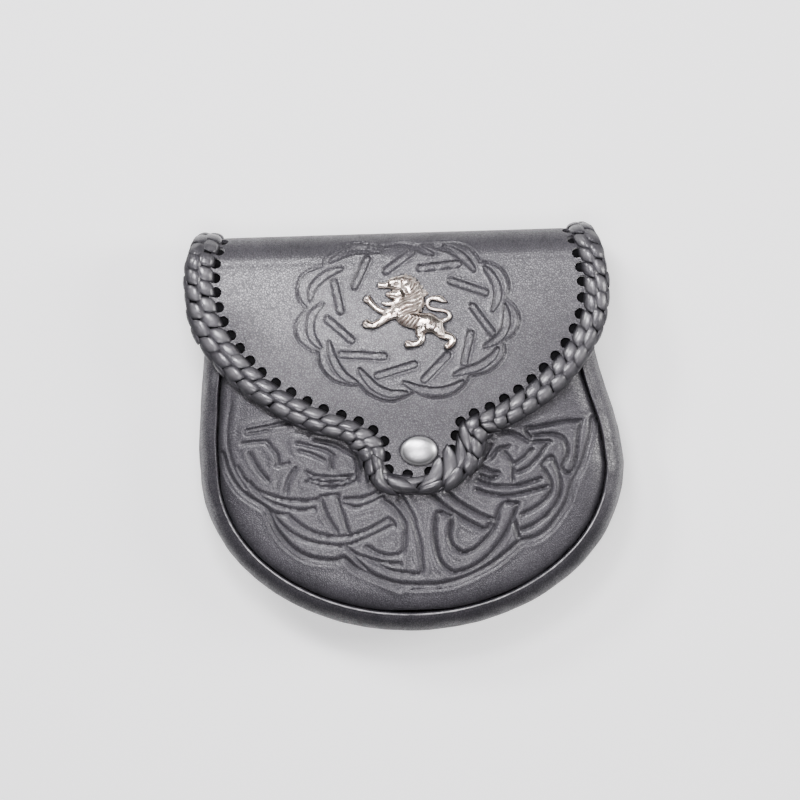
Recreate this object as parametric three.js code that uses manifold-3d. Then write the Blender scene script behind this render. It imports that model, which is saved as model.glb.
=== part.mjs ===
// Sporran pouch: a leather belt pouch with a laced flap, a lion badge and a snap, lying on its back.
// Millimetres, +Z out of the front, +Y towards the fold, +X to the viewer's right.
// The drawing frame has y = 0 just below the pouch and x = 0 at the middle of the fold; the finished group
// is moved so that its origin is the middle of the bounding box's base.
import * as THREE from 'three';
import { mergeVertices } from 'three/addons/utils/BufferGeometryUtils.js';
import Module from 'manifold-3d';

const wasm = await Module();
wasm.setup();

// Leather and clearances
const LEATHER = 2.4; // back, flap and front panel
const GUSSET_WALL = 1.8;
const GAP = 0.3; // between pieces that lie on each other

// Carrier on the back, which the pouch lies on
const CARRIER_WALL = 2.0;
const TUNNEL = 5.0; // clear height for the belt
const CARRIER = { x: 3, y: 88, width: 96, plateau: 58, ramp: 7, flange: 9 };
const BACK_Z = CARRIER_WALL + TUNNEL; // outer face of the back panel

// Fold over the top
const FOLD_Y = 156.5; // where the fold's arc starts, front and back
const FOLD_R = 13.5; // outer radius
const FOLD_LENGTH = Math.PI * FOLD_R;

// Body outline: an ellipse below WIDEST, and these rows above it
const BODY = { x: 4.2, widest: 72, half: 88.2, drop: 68 };
const BODY_ROWS = [
  { y: 72, half: 88.2, lean: 4.2, shoulder: 25.6 },
  { y: 85, half: 87.6, lean: 3.2, shoulder: 25.6 },
  { y: 95, half: 86.0, lean: 2.3, shoulder: 25.4 },
  { y: 105, half: 84.1, lean: 1.2, shoulder: 24.9 },
  { y: 115, half: 82.2, lean: 0.4, shoulder: 24.0 },
  { y: 125, half: 81.0, lean: 0.1, shoulder: 22.8 },
  { y: 140, half: 80.0, lean: 0.0, shoulder: 21.0 },
  { y: 157, half: 79.0, lean: 0.0, shoulder: 21.0 },
];
const BACK_INSET = 1.2; // the back panel's edge lies inside the gusset's bulge
const MOUTH_Y = 129; // top edge of the front panel
const ARM_TOP = 134; // top of the gusset's arms

// Gusset section, from its foot on the back panel to the lip at the seam groove.
// out is from the outline, rise is the share of the height up to the shoulder.
const GUSSET_ROWS = [
  { out: -1.3, rise: 0.0 },
  { out: -0.4, rise: 0.28 },
  { out: 0.0, rise: 0.56 },
  { out: -0.5, rise: 0.8 },
  { out: -2.2, rise: 0.945 },
  { out: -4.6, rise: 1.0 },
  { out: -6.8, rise: 0.97 },
  { out: -8.0, rise: 0.89 },
];

// Front panel: its dome above the seam groove
const PANEL = { x: 3, y: 84, crown: 29.8, inset: 8.4, mouthZ: 26.4, rings: 7, spokes: 54 };

// Flap: height of its outer face along the middle, and how far it sinks at SAG_AT to each side
const FLAP_ROWS = [
  { y: 60, z: 34.9, sag: 2.4 },
  { y: 72, z: 35.9, sag: 2.6 },
  { y: 85, z: 36.4, sag: 2.8 },
  { y: 100, z: 35.9, sag: 2.8 },
  { y: 120, z: 33.7, sag: 2.2 },
  { y: 140, z: 30.3, sag: 0.9 },
  { y: 156.5, z: 27.0, sag: 0.0 },
];
const SAG_AT = 60;

// Lacing: every second hole down the left edge, round the tongue and up the right edge, with the point of the
// braid's outer edge that belongs to it. The second number of a pair is the height on the flap, and past the
// fold's start it goes on as a length round the fold.
const LACE_ROWS = [
  { hole: [-70.0, 194.5], rim: [-81.0, 194.5] },
  { hole: [-70.5, 182.5], rim: [-81.5, 182.5] },
  { hole: [-71.5, 170.5], rim: [-84.3, 170.5] },
  { hole: [-74.6, 158.9], rim: [-87.3, 159.2] },
  { hole: [-74.8, 146.8], rim: [-87.9, 145.6] },
  { hole: [-72.1, 134.6], rim: [-85.2, 130.4] },
  { hole: [-65.6, 123.3], rim: [-76.0, 115.9] },
  { hole: [-56.9, 113.0], rim: [-64.6, 104.5] },
  { hole: [-44.8, 104.3], rim: [-51.0, 94.8] },
  { hole: [-31.7, 97.0], rim: [-36.2, 87.5] },
  { hole: [-17.4, 91.5], rim: [-22.3, 82.8] },
  { hole: [-7.2, 83.0], rim: [-18.2, 76.0] },
  { hole: [-5.7, 71.3], rim: [-12.4, 64.9] },
  { hole: [11.2, 69.9], rim: [12.4, 61.3] },
  { hole: [20.6, 78.6], rim: [31.6, 71.6] },
  { hole: [24.7, 90.1], rim: [35.9, 83.2] },
  { hole: [36.9, 95.8], rim: [42.6, 86.9] },
  { hole: [48.9, 102.6], rim: [55.3, 93.6] },
  { hole: [59.8, 111.3], rim: [67.6, 102.9] },
  { hole: [69.1, 121.4], rim: [78.0, 114.6] },
  { hole: [75.4, 133.4], rim: [85.9, 130.4] },
  { hole: [76.8, 147.0], rim: [87.7, 146.0] },
  { hole: [75.2, 158.8], rim: [86.2, 159.3] },
  { hole: [71.7, 171.7], rim: [82.5, 172.0] },
  { hole: [70.5, 183.7], rim: [80.5, 183.7] },
  { hole: [70.0, 195.7], rim: [79.8, 195.7] },
];
const HOLE_R = 2.3;
const BRAID = { edge: 3.9, start: 2.9, clear: 0.35, back: 2.0, front: 2.3, scallop: 0.45 };

// Snap on the tongue
const SNAP = { x: 7.1, y: 78.6, width: 15.2, height: 12.0, dome: 2.5, studR: 5.5 };

// Lion badge: limbs as [x, y, radius] along their length, in the badge's own plane
const BADGE = { x: 4.6, y: 136.6, turn: -1.75, squat: 0.62, sides: 8 };
const LION_LIMBS = [
  { part: 'chest and belly', path: [[-4.4, 0.6, 2.6], [-1.5, -2.6, 3.9], [3.2, -4.6, 3.6], [8.6, -5.2, 3.9]] },
  { part: 'haunch', path: [[8.6, -5.4, 4.1], [12.4, -6.6, 2.6]] },
  { part: 'mane', path: [[-2.6, 12.0, 3.2], [0.4, 8.2, 5.4], [1.2, 3.4, 5.2], [-1.2, -0.6, 3.2]] },
  { part: 'muzzle', path: [[-4.2, 11.8, 2.8], [-7.6, 11.2, 1.9], [-11.9, 10.5, 1.2]] },
  { part: 'jaw', path: [[-3.6, 7.6, 2.4], [-6.4, 6.0, 1.4], [-9.3, 6.7, 0.8]] },
  { part: 'beard', path: [[-4.4, 4.4, 2.0], [-8.0, 2.6, 1.3], [-11.8, 3.2, 0.6]] },
  { part: 'raised foreleg', path: [[-4.6, 0.4, 2.0], [-9.1, -0.4, 1.5], [-11.6, -0.9, 1.2], [-14.6, 2.0, 1.1], [-17.3, 4.9, 1.6]] },
  { part: 'foreleg', path: [[-5.2, -1.2, 2.1], [-8.2, -1.8, 1.5], [-11.2, -4.2, 1.2], [-14.4, -6.4, 1.1], [-17.6, -5.6, 1.5]] },
  { part: 'near hind leg', path: [[6.2, -6.8, 2.8], [5.0, -9.6, 1.9], [5.3, -12.2, 1.3], [3.4, -13.6, 1.2], [-0.8, -14.1, 1.3]] },
  { part: 'far hind leg', path: [[11.2, -7.2, 2.6], [14.6, -10.4, 1.6], [17.6, -11.3, 1.3], [17.9, -13.6, 1.2], [15.6, -15.3, 1.3]] },
  { part: 'tail', path: [[12.4, -4.4, 1.2], [16.0, -3.2, 0.9], [16.8, -1.0, 0.8], [14.6, 0.4, 0.8], [9.6, 1.0, 0.8], [7.6, 3.2, 0.8], [9.4, 5.5, 0.8]] },
  { part: 'tail tuft', path: [[9.2, 5.4, 1.0], [11.8, 5.2, 1.5], [15.0, 3.7, 0.6]] },
];

const FINISH = {
  leather: { color: 0x5b5b5f, roughness: 0.45, metalness: 0 },
  gusset: { color: 0x515154, roughness: 0.5, metalness: 0 },
  lace: { color: 0x4c4c50, roughness: 0.4, metalness: 0 },
  silver: { color: 0xb3a99a, roughness: 0.35, metalness: 1 },
  nickel: { color: 0xb9bbbf, roughness: 0.3, metalness: 1 },
};

// Interpolation through rows of a table

// The value of a column at one place, by a Catmull-Rom curve through the rows
function column(rows, key, value, name) {
  const last = rows.length - 1;
  const at = THREE.MathUtils.clamp(value, rows[0][key], rows[last][key]);
  let i = 0;
  while (i < last - 1 && rows[i + 1][key] < at) i += 1;
  const share = (at - rows[i][key]) / (rows[i + 1][key] - rows[i][key]);
  const before = rows[Math.max(i - 1, 0)];
  const after = rows[Math.min(i + 2, last)];
  const step = rows[i + 1][key] - rows[i][key];
  const slopeA = ((rows[i + 1][name] - before[name]) / (rows[i + 1][key] - before[key])) * step;
  const slopeB = ((after[name] - rows[i][name]) / (after[key] - rows[i][key])) * step;
  const s2 = share * share;
  const s3 = s2 * share;
  return (2 * s3 - 3 * s2 + 1) * rows[i][name] + (s3 - 2 * s2 + share) * slopeA
    + (3 * s2 - 2 * s3) * rows[i + 1][name] + (s3 - s2) * slopeB;
}

// A closed mesh from rings of equal length: a loft with its two flat ends capped, its faces turned outwards
function loft(rings) {
  const count = rings[0].length;
  const points = rings.flat();
  const index = [];
  for (let r = 0; r < rings.length - 1; r += 1) {
    for (let c = 0; c < count; c += 1) {
      const a = r * count + c;
      const b = r * count + ((c + 1) % count);
      index.push(a, b, b + count, a, b + count, a + count);
    }
  }
  index.push(...cap(rings[0], 0, true));
  index.push(...cap(rings[rings.length - 1], (rings.length - 1) * count, false));
  const made = geometry(points, index);
  if (volume(points, index) < 0) {
    made.setIndex(index.reverse());
  }
  return made;
}

// Triangles that close one end ring, which starts at a given point of the mesh
function cap(ring, start, atStart) {
  const normal = new THREE.Vector3();
  ring.forEach((p, i) => normal.add(p.clone().cross(ring[(i + 1) % ring.length])));
  normal.normalize();
  const u = ring[1].clone().sub(ring[0]).normalize();
  u.addScaledVector(normal, -u.dot(normal)).normalize();
  const v = normal.clone().cross(u);
  const flat = ring.map((p) => new THREE.Vector2(p.dot(u), p.dot(v)));
  return THREE.ShapeUtils.triangulateShape(flat, []).flatMap(([a, b, c]) => {
    const sides = flat[b].clone().sub(flat[a]);
    const left = sides.cross(flat[c].clone().sub(flat[a])) > 0;
    const turned = left === atStart ? [a, c, b] : [a, b, c];
    return turned.map((i) => start + i);
  });
}

function volume(points, index) {
  let sum = 0;
  for (let i = 0; i < index.length; i += 3) {
    const [a, b, c] = index.slice(i, i + 3).map((k) => points[k]);
    sum += a.dot(b.clone().cross(c)) / 6;
  }
  return sum;
}

function geometry(points, index) {
  const made = new THREE.BufferGeometry();
  made.setAttribute('position', new THREE.Float32BufferAttribute(points.flatMap((p) => [p.x, p.y, p.z]), 3));
  made.setIndex(index);
  return made;
}

// Joining and cutting closed meshes

function solid(source) {
  const bare = source.clone();
  bare.deleteAttribute('normal');
  bare.deleteAttribute('uv');
  const merged = mergeVertices(bare, 1e-5);
  return new wasm.Manifold(new wasm.Mesh({
    numProp: 3,
    vertProperties: new Float32Array(merged.attributes.position.array),
    triVerts: new Uint32Array(merged.index.array),
  }));
}

function fromSolid(body) {
  const { vertProperties, triVerts } = body.getMesh();
  const made = new THREE.BufferGeometry();
  made.setAttribute('position', new THREE.BufferAttribute(new Float32Array(vertProperties), 3));
  made.setIndex(new THREE.BufferAttribute(new Uint32Array(triVerts), 1));
  return made;
}

function piece(name, shape, finish) {
  shape.computeVertexNormals();
  const mesh = new THREE.Mesh(shape, new THREE.MeshStandardMaterial(FINISH[finish]));
  mesh.name = name;
  return mesh;
}

// The body's outline, as the left arm, the ellipse under it and the right arm

function outlinePoint(y, side, inset = 0) {
  return new THREE.Vector2(
    column(BODY_ROWS, 'y', y, 'lean') + side * (column(BODY_ROWS, 'y', y, 'half') - inset), y);
}

function bodyPath(top, armSteps, bowlSteps) {
  const path = [];
  const arm = (side) => Array.from({ length: armSteps }, (_, i) => (
    outlinePoint(top + (BODY.widest - top) * (i / armSteps), side)));
  path.push(...arm(-1));
  for (let i = 0; i <= bowlSteps; i += 1) {
    const angle = Math.PI * (1 + i / bowlSteps);
    path.push(new THREE.Vector2(
      BODY.x + BODY.half * Math.cos(angle), BODY.widest + BODY.drop * Math.sin(angle)));
  }
  path.push(...arm(1).reverse());
  return path;
}

// Unit vectors that point out of a path which runs down the left side and up the right one
function outwardOf(path) {
  return path.map((_, i) => {
    const ahead = path[Math.min(i + 1, path.length - 1)].clone().sub(path[Math.max(i - 1, 0)]);
    return new THREE.Vector2(ahead.y, -ahead.x).normalize();
  });
}

const shoulderZ = (y) => BACK_Z + column(BODY_ROWS, 'y', y, 'shoulder');
const footZ = BACK_Z + LEATHER + GAP;

// Gusset: the section swept round the outline

function gussetSection() {
  const height = BODY_ROWS[0].shoulder - LEATHER - GAP;
  const outer = GUSSET_ROWS.map(({ out, rise }) => new THREE.Vector2(out, rise * height));
  const inner = outer.map((p, i) => {
    const along = outer[Math.min(i + 1, outer.length - 1)].clone().sub(outer[Math.max(i - 1, 0)]).normalize();
    return new THREE.Vector2(p.x - along.y * GUSSET_WALL, p.y + along.x * GUSSET_WALL);
  });
  return { outer, inner, height };
}

function gusset() {
  const path = bodyPath(ARM_TOP, 8, 36);
  const outward = outwardOf(path);
  const { outer, inner, height } = gussetSection();
  const loop = [...outer, ...inner.reverse()];
  const rings = path.map((p, i) => {
    const tall = (shoulderZ(p.y) - footZ) / height;
    return loop.map((s) => new THREE.Vector3(
      p.x + outward[i].x * s.x, p.y + outward[i].y * s.x, footZ + Math.max(s.y, 0) * tall));
  });
  return loft(rings);
}

// Front panel: rings from the edge to the middle, an outer and an inner skin

function panelOutline() {
  const path = bodyPath(MOUTH_Y, 7, 30);
  const outward = outwardOf(path);
  const edge = path.map((p, i) => p.clone().addScaledVector(outward[i], -PANEL.inset));
  const left = edge[0];
  const right = edge[edge.length - 1];
  const mouthSteps = PANEL.spokes - 45;
  const mouth = Array.from({ length: mouthSteps }, (_, i) => right.clone().lerp(left, (i + 1) / (mouthSteps + 1)));
  return { edge, mouth };
}

// Share of the dome's height at a ring, 0 at the seam and 1 in the middle
const domeShare = (ring) => 0.35 * (1 - ring ** 24) + 0.65 * (1 - ring ** 2.5);

function frontPanel() {
  const { edge, mouth } = panelOutline();
  const lip = GUSSET_ROWS[GUSSET_ROWS.length - 1].rise;
  const lipZ = (y) => footZ + (shoulderZ(y) - footZ) * lip;
  const corner = 22;
  const rim = edge.map((p) => ({ p, z: lipZ(p.y) }));
  for (const p of mouth) {
    const from = Math.min(p.distanceTo(edge[0]), p.distanceTo(edge[edge.length - 1]));
    const share = THREE.MathUtils.smoothstep(from, 0, corner);
    rim.push({ p, z: THREE.MathUtils.lerp(lipZ(MOUTH_Y), BACK_Z + PANEL.mouthZ, share) });
  }
  const middle = new THREE.Vector2(PANEL.x, PANEL.y);
  const skin = (drop) => {
    const rings = [];
    for (let r = 0; r < PANEL.rings; r += 1) {
      const ring = 1 - (r / PANEL.rings) ** 1.5;
      rings.push(rim.map(({ p, z }) => {
        const at = middle.clone().lerp(p, ring);
        const height = z + (BACK_Z + PANEL.crown - z) * domeShare(ring);
        return new THREE.Vector3(at.x, at.y, height - drop);
      }));
    }
    return rings;
  };
  const rings = [...skin(LEATHER).reverse(), ...skin(0)];
  return loft(rings);
}

// The sheet of the back and flap. Its own coordinates are x and q: q is the height on the front of the flap,
// goes on as a length round the fold, and then runs down the back.

function sheetPoint(x, q, depth) {
  const round = q - FOLD_Y;
  if (round <= 0) {
    const rise = (at) => {
      const sag = column(FLAP_ROWS, 'y', at, 'sag') * ((x - SNAP.x / 2) / SAG_AT) ** 2;
      return column(FLAP_ROWS, 'y', at, 'z') - sag;
    };
    const slope = (rise(q + 0.5) - rise(q - 0.5));
    const tilt = Math.hypot(1, slope);
    return new THREE.Vector3(x, q + (slope / tilt) * depth, BACK_Z + rise(q) - depth / tilt);
  }
  const angle = Math.min(round / FOLD_R, Math.PI);
  const radius = FOLD_R - depth;
  const down = Math.max(round - FOLD_LENGTH, 0);
  return new THREE.Vector3(
    x, FOLD_Y + radius * Math.sin(angle) - down, BACK_Z + FOLD_R + radius * Math.cos(angle));
}

// A point of the lacing line at a row number that may lie between rows
function laceAt(row) {
  const curve = (name) => new THREE.CatmullRomCurve3(
    LACE_ROWS.map((r) => new THREE.Vector3(r[name][0], r[name][1], 0)), false, 'centripetal');
  laceAt.hole ??= curve('hole');
  laceAt.rim ??= curve('rim');
  const share = row / (LACE_ROWS.length - 1);
  const hole = laceAt.hole.getPoint(share);
  const rim = laceAt.rim.getPoint(share);
  const width = hole.distanceTo(rim);
  return { hole, rim, width, toRim: rim.clone().sub(hole).divideScalar(width) };
}

function leatherEdge(row) {
  const { hole, width, toRim } = laceAt(row);
  return hole.addScaledVector(toRim, width - BRAID.edge);
}

function sheetRows() {
  const rows = [];
  const last = LACE_ROWS.length - 1;
  const backQ = (y) => FOLD_Y + FOLD_LENGTH + FOLD_Y - y;
  const bowl = 8;
  for (let i = 0; i < bowl; i += 1) {
    const angle = (Math.PI / 2) * (1 - (i + 0.25) / bowl);
    const y = BODY.widest - (BODY.drop - BACK_INSET) * Math.sin(angle);
    const half = (BODY.half - BACK_INSET) * Math.cos(angle);
    rows.push({ left: [BODY.x - half, backQ(y)], right: [BODY.x + half, backQ(y)] });
  }
  for (const y of [BODY.widest, 85, 98, 112, 126, 141]) {
    const side = (s) => [outlinePoint(y, s, BACK_INSET).x, backQ(y)];
    rows.push({ left: side(-1), right: side(1) });
  }
  const foldRows = 3.5;
  for (let t = 0; t < last / 2 - 0.6; t += t < foldRows ? 0.25 : 0.5) {
    const left = leatherEdge(t);
    const right = leatherEdge(last - t);
    rows.push({ left: [left.x, left.y], right: [right.x, right.y] });
  }
  const tip = last / 2;
  for (const t of [tip - 0.5, tip - 0.25]) {
    const left = leatherEdge(t);
    const right = leatherEdge(last - t);
    rows.push({ left: [left.x, left.y], right: [right.x, right.y] });
  }
  return rows;
}

function backAndFlap() {
  const columns = 6;
  const across = (row, depth) => Array.from({ length: columns + 1 }, (_, i) => {
    const x = THREE.MathUtils.lerp(row.left[0], row.right[0], i / columns);
    const q = THREE.MathUtils.lerp(row.left[1], row.right[1], i / columns);
    return sheetPoint(x, q, depth);
  });
  const rings = sheetRows().map((row) => [...across(row, 0), ...across(row, LEATHER).reverse()]);
  let sheet = solid(loft(rings));
  for (const cutter of holeCutters()) {
    const next = sheet.subtract(cutter);
    cutter.delete();
    sheet.delete();
    sheet = next;
  }
  return fromSolid(sheet);
}

function holeCutters() {
  const cutters = [];
  for (let row = 0; row < LACE_ROWS.length; row += 0.5) {
    if (row > LACE_ROWS.length - 1) break;
    const { hole } = laceAt(row);
    const outer = sheetPoint(hole.x, hole.y, -2);
    const inner = sheetPoint(hole.x, hole.y, LEATHER + 2);
    const punch = new THREE.CylinderGeometry(HOLE_R, HOLE_R, outer.distanceTo(inner), 8);
    const up = outer.clone().sub(inner).normalize();
    punch.applyQuaternion(new THREE.Quaternion().setFromUnitVectors(new THREE.Vector3(0, 1, 0), up));
    const middle = outer.add(inner).multiplyScalar(0.5);
    punch.translate(middle.x, middle.y, middle.z);
    cutters.push(solid(punch));
  }
  return cutters;
}

// Lacing: a C-section round the leather's edge, scalloped once for each hole

function edgeLacing() {
  const rings = [];
  const last = LACE_ROWS.length - 1;
  const step = 0.25;
  for (let i = 0; i <= last / step; i += 1) {
    const row = i * step;
    const { hole, width, toRim } = laceAt(row);
    const swell = i % 2 === 0 ? 1 : -1;
    const reach = width + BRAID.scallop * swell;
    const front = BRAID.front + 0.3 * swell;
    const edge = width - BRAID.edge + BRAID.clear + 0.15;
    const at = (along, depth) => {
      const p = hole.clone().addScaledVector(toRim, along);
      return sheetPoint(p.x, p.y, depth);
    };
    rings.push([
      at(BRAID.start, -BRAID.clear),
      at(BRAID.start + 0.6, -BRAID.clear - front * 0.7),
      at(reach * 0.5, -BRAID.clear - front),
      at(reach * 0.82, -BRAID.clear - front * 0.7),
      at(reach, LEATHER / 2),
      at(reach * 0.82, LEATHER + BRAID.clear + BRAID.back * 0.8),
      at(reach * 0.5, LEATHER + BRAID.clear + BRAID.back),
      at(BRAID.start + 0.6, LEATHER + BRAID.clear + BRAID.back * 0.7),
      at(BRAID.start, LEATHER + BRAID.clear),
      at(edge, LEATHER + BRAID.clear),
      at(edge, -BRAID.clear),
    ]);
  }
  return loft(rings);
}

// Snap

function lathe(rows, segments) {
  const made = new THREE.LatheGeometry(rows.map(([r, z]) => new THREE.Vector2(r, z)), segments);
  return made.rotateX(Math.PI / 2);
}

// Sets a shape that stands on z = 0 on the flap's face, or hangs it under the flap
function onFlap(shape, x, y, lift) {
  const a = sheetPoint(x, y - 4, 0);
  const b = sheetPoint(x, y + 4, 0);
  const tilt = Math.atan2(b.z - a.z, b.y - a.y);
  const at = sheetPoint(x, y, 0);
  return shape.rotateX(tilt).translate(at.x, at.y, at.z).translate(0, 0, lift);
}

function snapCap() {
  const rim = SNAP.width / 2;
  const shape = lathe([[0, 0], [rim - 0.3, 0], [rim, 0.5], [rim * 0.86, 1.4], [rim * 0.55, 2.2], [0, SNAP.dome]], 24);
  return onFlap(shape.scale(1, SNAP.height / SNAP.width, 1), SNAP.x, SNAP.y, GAP + 0.1);
}

function snapStud() {
  const height = 2.7;
  const r = SNAP.studR;
  const shape = lathe([[0, 0], [r, 0], [r, 1.0], [r * 0.7, 1.6], [r * 0.7, height], [0, height]], 16);
  return onFlap(shape, SNAP.x, SNAP.y, -(LEATHER + GAP + height));
}

// Lion: flattened limbs joined into one casting with a flat back

function limb(path) {
  const rings = path.map(([x, y, r], i) => {
    const [ax, ay] = path[Math.max(i - 1, 0)];
    const [bx, by] = path[Math.min(i + 1, path.length - 1)];
    const side = new THREE.Vector2(by - ay, ax - bx).normalize();
    return Array.from({ length: BADGE.sides }, (_, k) => {
      const angle = (2 * Math.PI * k) / BADGE.sides;
      const out = r * Math.cos(angle);
      return new THREE.Vector3(x + side.x * out, y + side.y * out, r * BADGE.squat * Math.sin(angle) + 0.4);
    });
  });
  return loft(rings);
}

function lionBadge() {
  let lion = null;
  for (const { path } of LION_LIMBS) {
    const next = solid(limb(path));
    lion = lion ? lion.add(next) : next;
  }
  const block = new THREE.BoxGeometry(60, 60, 10).translate(0, 0, 5);
  const shape = fromSolid(lion.intersect(solid(block)));
  shape.rotateZ(THREE.MathUtils.degToRad(BADGE.turn));
  return onFlap(shape, BADGE.x, BADGE.y, GAP + 0.3);
}

// Carrier: a strap bent out from the back to leave a tunnel, stitched at its upper and lower flange

function beltCarrier() {
  const half = CARRIER.plateau / 2;
  const reach = half + CARRIER.ramp;
  const end = reach + CARRIER.flange;
  const top = BACK_Z - GAP;
  const line = [[-end, top], [-reach, top], [-half, CARRIER_WALL], [half, CARRIER_WALL], [reach, top], [end, top]];
  const lower = line.map(([y, z]) => [y, z - CARRIER_WALL]).reverse();
  const profile = new THREE.Shape([...line, ...lower].map(([y, z]) => new THREE.Vector2(y, z)));
  const strap = new THREE.ExtrudeGeometry(profile, { depth: CARRIER.width, bevelEnabled: false, steps: 1 });
  const toFrame = new THREE.Matrix4().makeBasis(
    new THREE.Vector3(0, 1, 0), new THREE.Vector3(0, 0, 1), new THREE.Vector3(1, 0, 0));
  strap.applyMatrix4(toFrame);
  return strap.translate(CARRIER.x - CARRIER.width / 2, CARRIER.y, 0);
}

const pouch = new THREE.Group();
pouch.add(
  piece('back_and_flap', backAndFlap(), 'leather'),
  piece('front_panel', frontPanel(), 'leather'),
  piece('gusset', gusset(), 'gusset'),
  piece('edge_lacing', edgeLacing(), 'lace'),
  piece('lion_badge', lionBadge(), 'silver'),
  piece('snap_cap', snapCap(), 'nickel'),
  piece('snap_stud', snapStud(), 'nickel'),
  piece('belt_carrier', beltCarrier(), 'leather'),
);

const box = new THREE.Box3().setFromObject(pouch);
const middle = box.getCenter(new THREE.Vector3());
pouch.position.set(-middle.x, -middle.y, -box.min.z);

export default pouch;
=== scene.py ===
"""Day sporran pouch in black leather, dressed over its CAD frame.

The pouch lies on its belt carrier with the laced flap up. All sizes in the classes are millimetres in
the drawing frame of the CAD source: x = 0 at the middle of the fold, y = 0 just below the pouch and z = 0
at the carrier's outer face. to_frame() brings them to metres in the shared frame.
"""

import logging
import math
from dataclasses import dataclass
from enum import Enum
from typing import Iterable, Sequence

import bpy
import numpy as np
from mathutils import Matrix, Vector


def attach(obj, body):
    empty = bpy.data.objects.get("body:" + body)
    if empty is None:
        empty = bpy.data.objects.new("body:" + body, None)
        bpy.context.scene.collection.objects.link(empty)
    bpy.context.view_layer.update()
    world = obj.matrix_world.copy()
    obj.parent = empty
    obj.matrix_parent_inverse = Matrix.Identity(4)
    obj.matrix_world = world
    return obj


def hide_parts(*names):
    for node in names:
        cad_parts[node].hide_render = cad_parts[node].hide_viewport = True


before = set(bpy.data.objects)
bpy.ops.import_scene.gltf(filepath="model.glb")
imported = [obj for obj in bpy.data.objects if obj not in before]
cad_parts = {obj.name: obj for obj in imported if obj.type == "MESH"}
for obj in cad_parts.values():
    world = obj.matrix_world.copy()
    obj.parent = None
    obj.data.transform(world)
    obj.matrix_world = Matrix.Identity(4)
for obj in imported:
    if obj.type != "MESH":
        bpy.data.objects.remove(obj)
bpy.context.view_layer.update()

logging.basicConfig(level=logging.INFO, format="%(message)s")
LOG = logging.getLogger("sporran")

Line = Sequence[tuple[float, float]]
Rgb = tuple[float, float, float]

BODY = "root"
SHIFT = np.array([-1.9946, -88.4748, 0.0])
MM = 0.001
MERGE_M = 1e-6

# The pouch's outline below its widest place is half an ellipse
BOWL_X = 4.2
BOWL_HALF = 88.2
BOWL_DROP = 68.0
WIDEST_Y = 72.0
BACK_FACE_Z = 7.0


class Slot(Enum):
    """Material slots of the record, named in the log line of each piece."""

    BODY = "body_leather"
    PANEL = "panel_leather"
    GUSSET = "gusset_leather"
    LACE = "lace_leather"
    SILVER = "antique_silver"
    NICKEL = "satin_nickel"


# Drawn lines, in millimetres of the drawing frame

SLOTS = (
    ((-12, 158.7), (-17.4, 147.6)),
    ((6.4, 161.1), (-4.3, 153.5)),
    ((25.6, 155.7), (9.9, 154.3)),
    ((22.5, 148.7), (36.7, 143.4)),
    ((31.1, 137.8), (38.7, 126.7)),
    ((29.9, 126.6), (26.9, 114.6)),
    ((20.1, 117.7), (10.2, 108)),
    ((6.2, 114.4), (-8.9, 110.2)),
    ((-6.2, 118.1), (-23.6, 119.4)),
    ((-19.3, 125.2), (-29, 134.2)),
    ((-25.8, 149.5), (-23.5, 137.4)),
)
CRESCENTS = (
    ((-27, 158.3), (-21.9, 161.3), (-15.6, 162.8), (-6.5, 161.9)),
    ((-4.7, 164.7), (1.9, 165.1), (8.1, 163.7), (12.2, 161.5), (15.5, 160.1)),
    ((16.1, 163.7), (21.9, 162.2), (26.8, 159.2), (30.4, 155.3), (32.4, 152.8)),
    ((36.6, 153.9), (39.4, 150.5), (41.4, 145.8), (41.6, 141.2), (39.4, 135.9)),
    ((44.5, 137.8), (45.1, 133.2), (44.1, 127.8), (40.7, 123.7), (35.6, 121)),
    ((41, 120), (38.4, 116.3), (32.8, 112.7), (27.4, 111.2), (22.8, 109.7)),
    ((26, 106.7), (20.9, 103.9), (14.6, 102.9), (7.6, 104.3), (1.8, 107)),
    ((2.5, 102.8), (-4.1, 102.6), (-9.9, 105.3), (-13.9, 109.6), (-16.3, 113)),
    ((-17.7, 107.6), (-22.3, 110.2), (-25.9, 114.9), (-27.8, 120), (-28.5, 124.6)),
    ((-32.3, 122.6), (-35.5, 126.9), (-36.2, 131.9), (-34.8, 136.9), (-30.9, 140.5)),
    ((-35.9, 142.3), (-34.9, 147.3), (-31, 151.4), (-27.2, 153.7), (-22.5, 155.3)),
)
SCALLOPS = (
    ((-30, 156.7), (-35.1, 155.2), (-39.3, 152.4), (-41.1, 147.9), (-40.8, 143.3), (-37.6, 139.1)),
    ((-30, 156.7), (-29.1, 160), (-26.5, 162.9), (-23.9, 165.3), (-18, 166.8), (-12.2, 166.6),
     (-7.2, 165.2)),
    ((-7.2, 165.2), (2, 166.6), (8.6, 165.2), (15.7, 165.8)),
    ((15.7, 165.8), (24.9, 165.5), (30.2, 162.8), (33.4, 159), (34.6, 156.4)),
    ((34.6, 156.4), (40, 155.4), (44.1, 152.4), (46.4, 147.3), (46.3, 143.6), (44.9, 140.3)),
    ((44.9, 140.3), (48.2, 137.7), (50.2, 133.5), (50, 129.3), (47.8, 125.6), (43.2, 122.8)),
    ((43.2, 122.8), (43.9, 118.6), (42.1, 114.5), (37.8, 110.9), (32.7, 109.4), (29, 108.9)),
    ((29, 108.9), (26.8, 105), (21.7, 101.4), (15.4, 100.3), (10, 101.3), (6.7, 103.3)),
    ((6.7, 103.3), (1.6, 100.8), (-3.4, 99.4), (-9.2, 100.7), (-14.1, 103.7), (-16.5, 106.7)),
    ((-16.5, 106.7), (-21.1, 106.7), (-26.5, 108.3), (-30.5, 111.7), (-32.9, 116.4), (-33.2, 120.6)),
    ((-33.2, 120.6), (-37.3, 122), (-41, 125.4), (-42.5, 129.6), (-41.5, 133.8), (-38.5, 137.8)),
)
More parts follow.
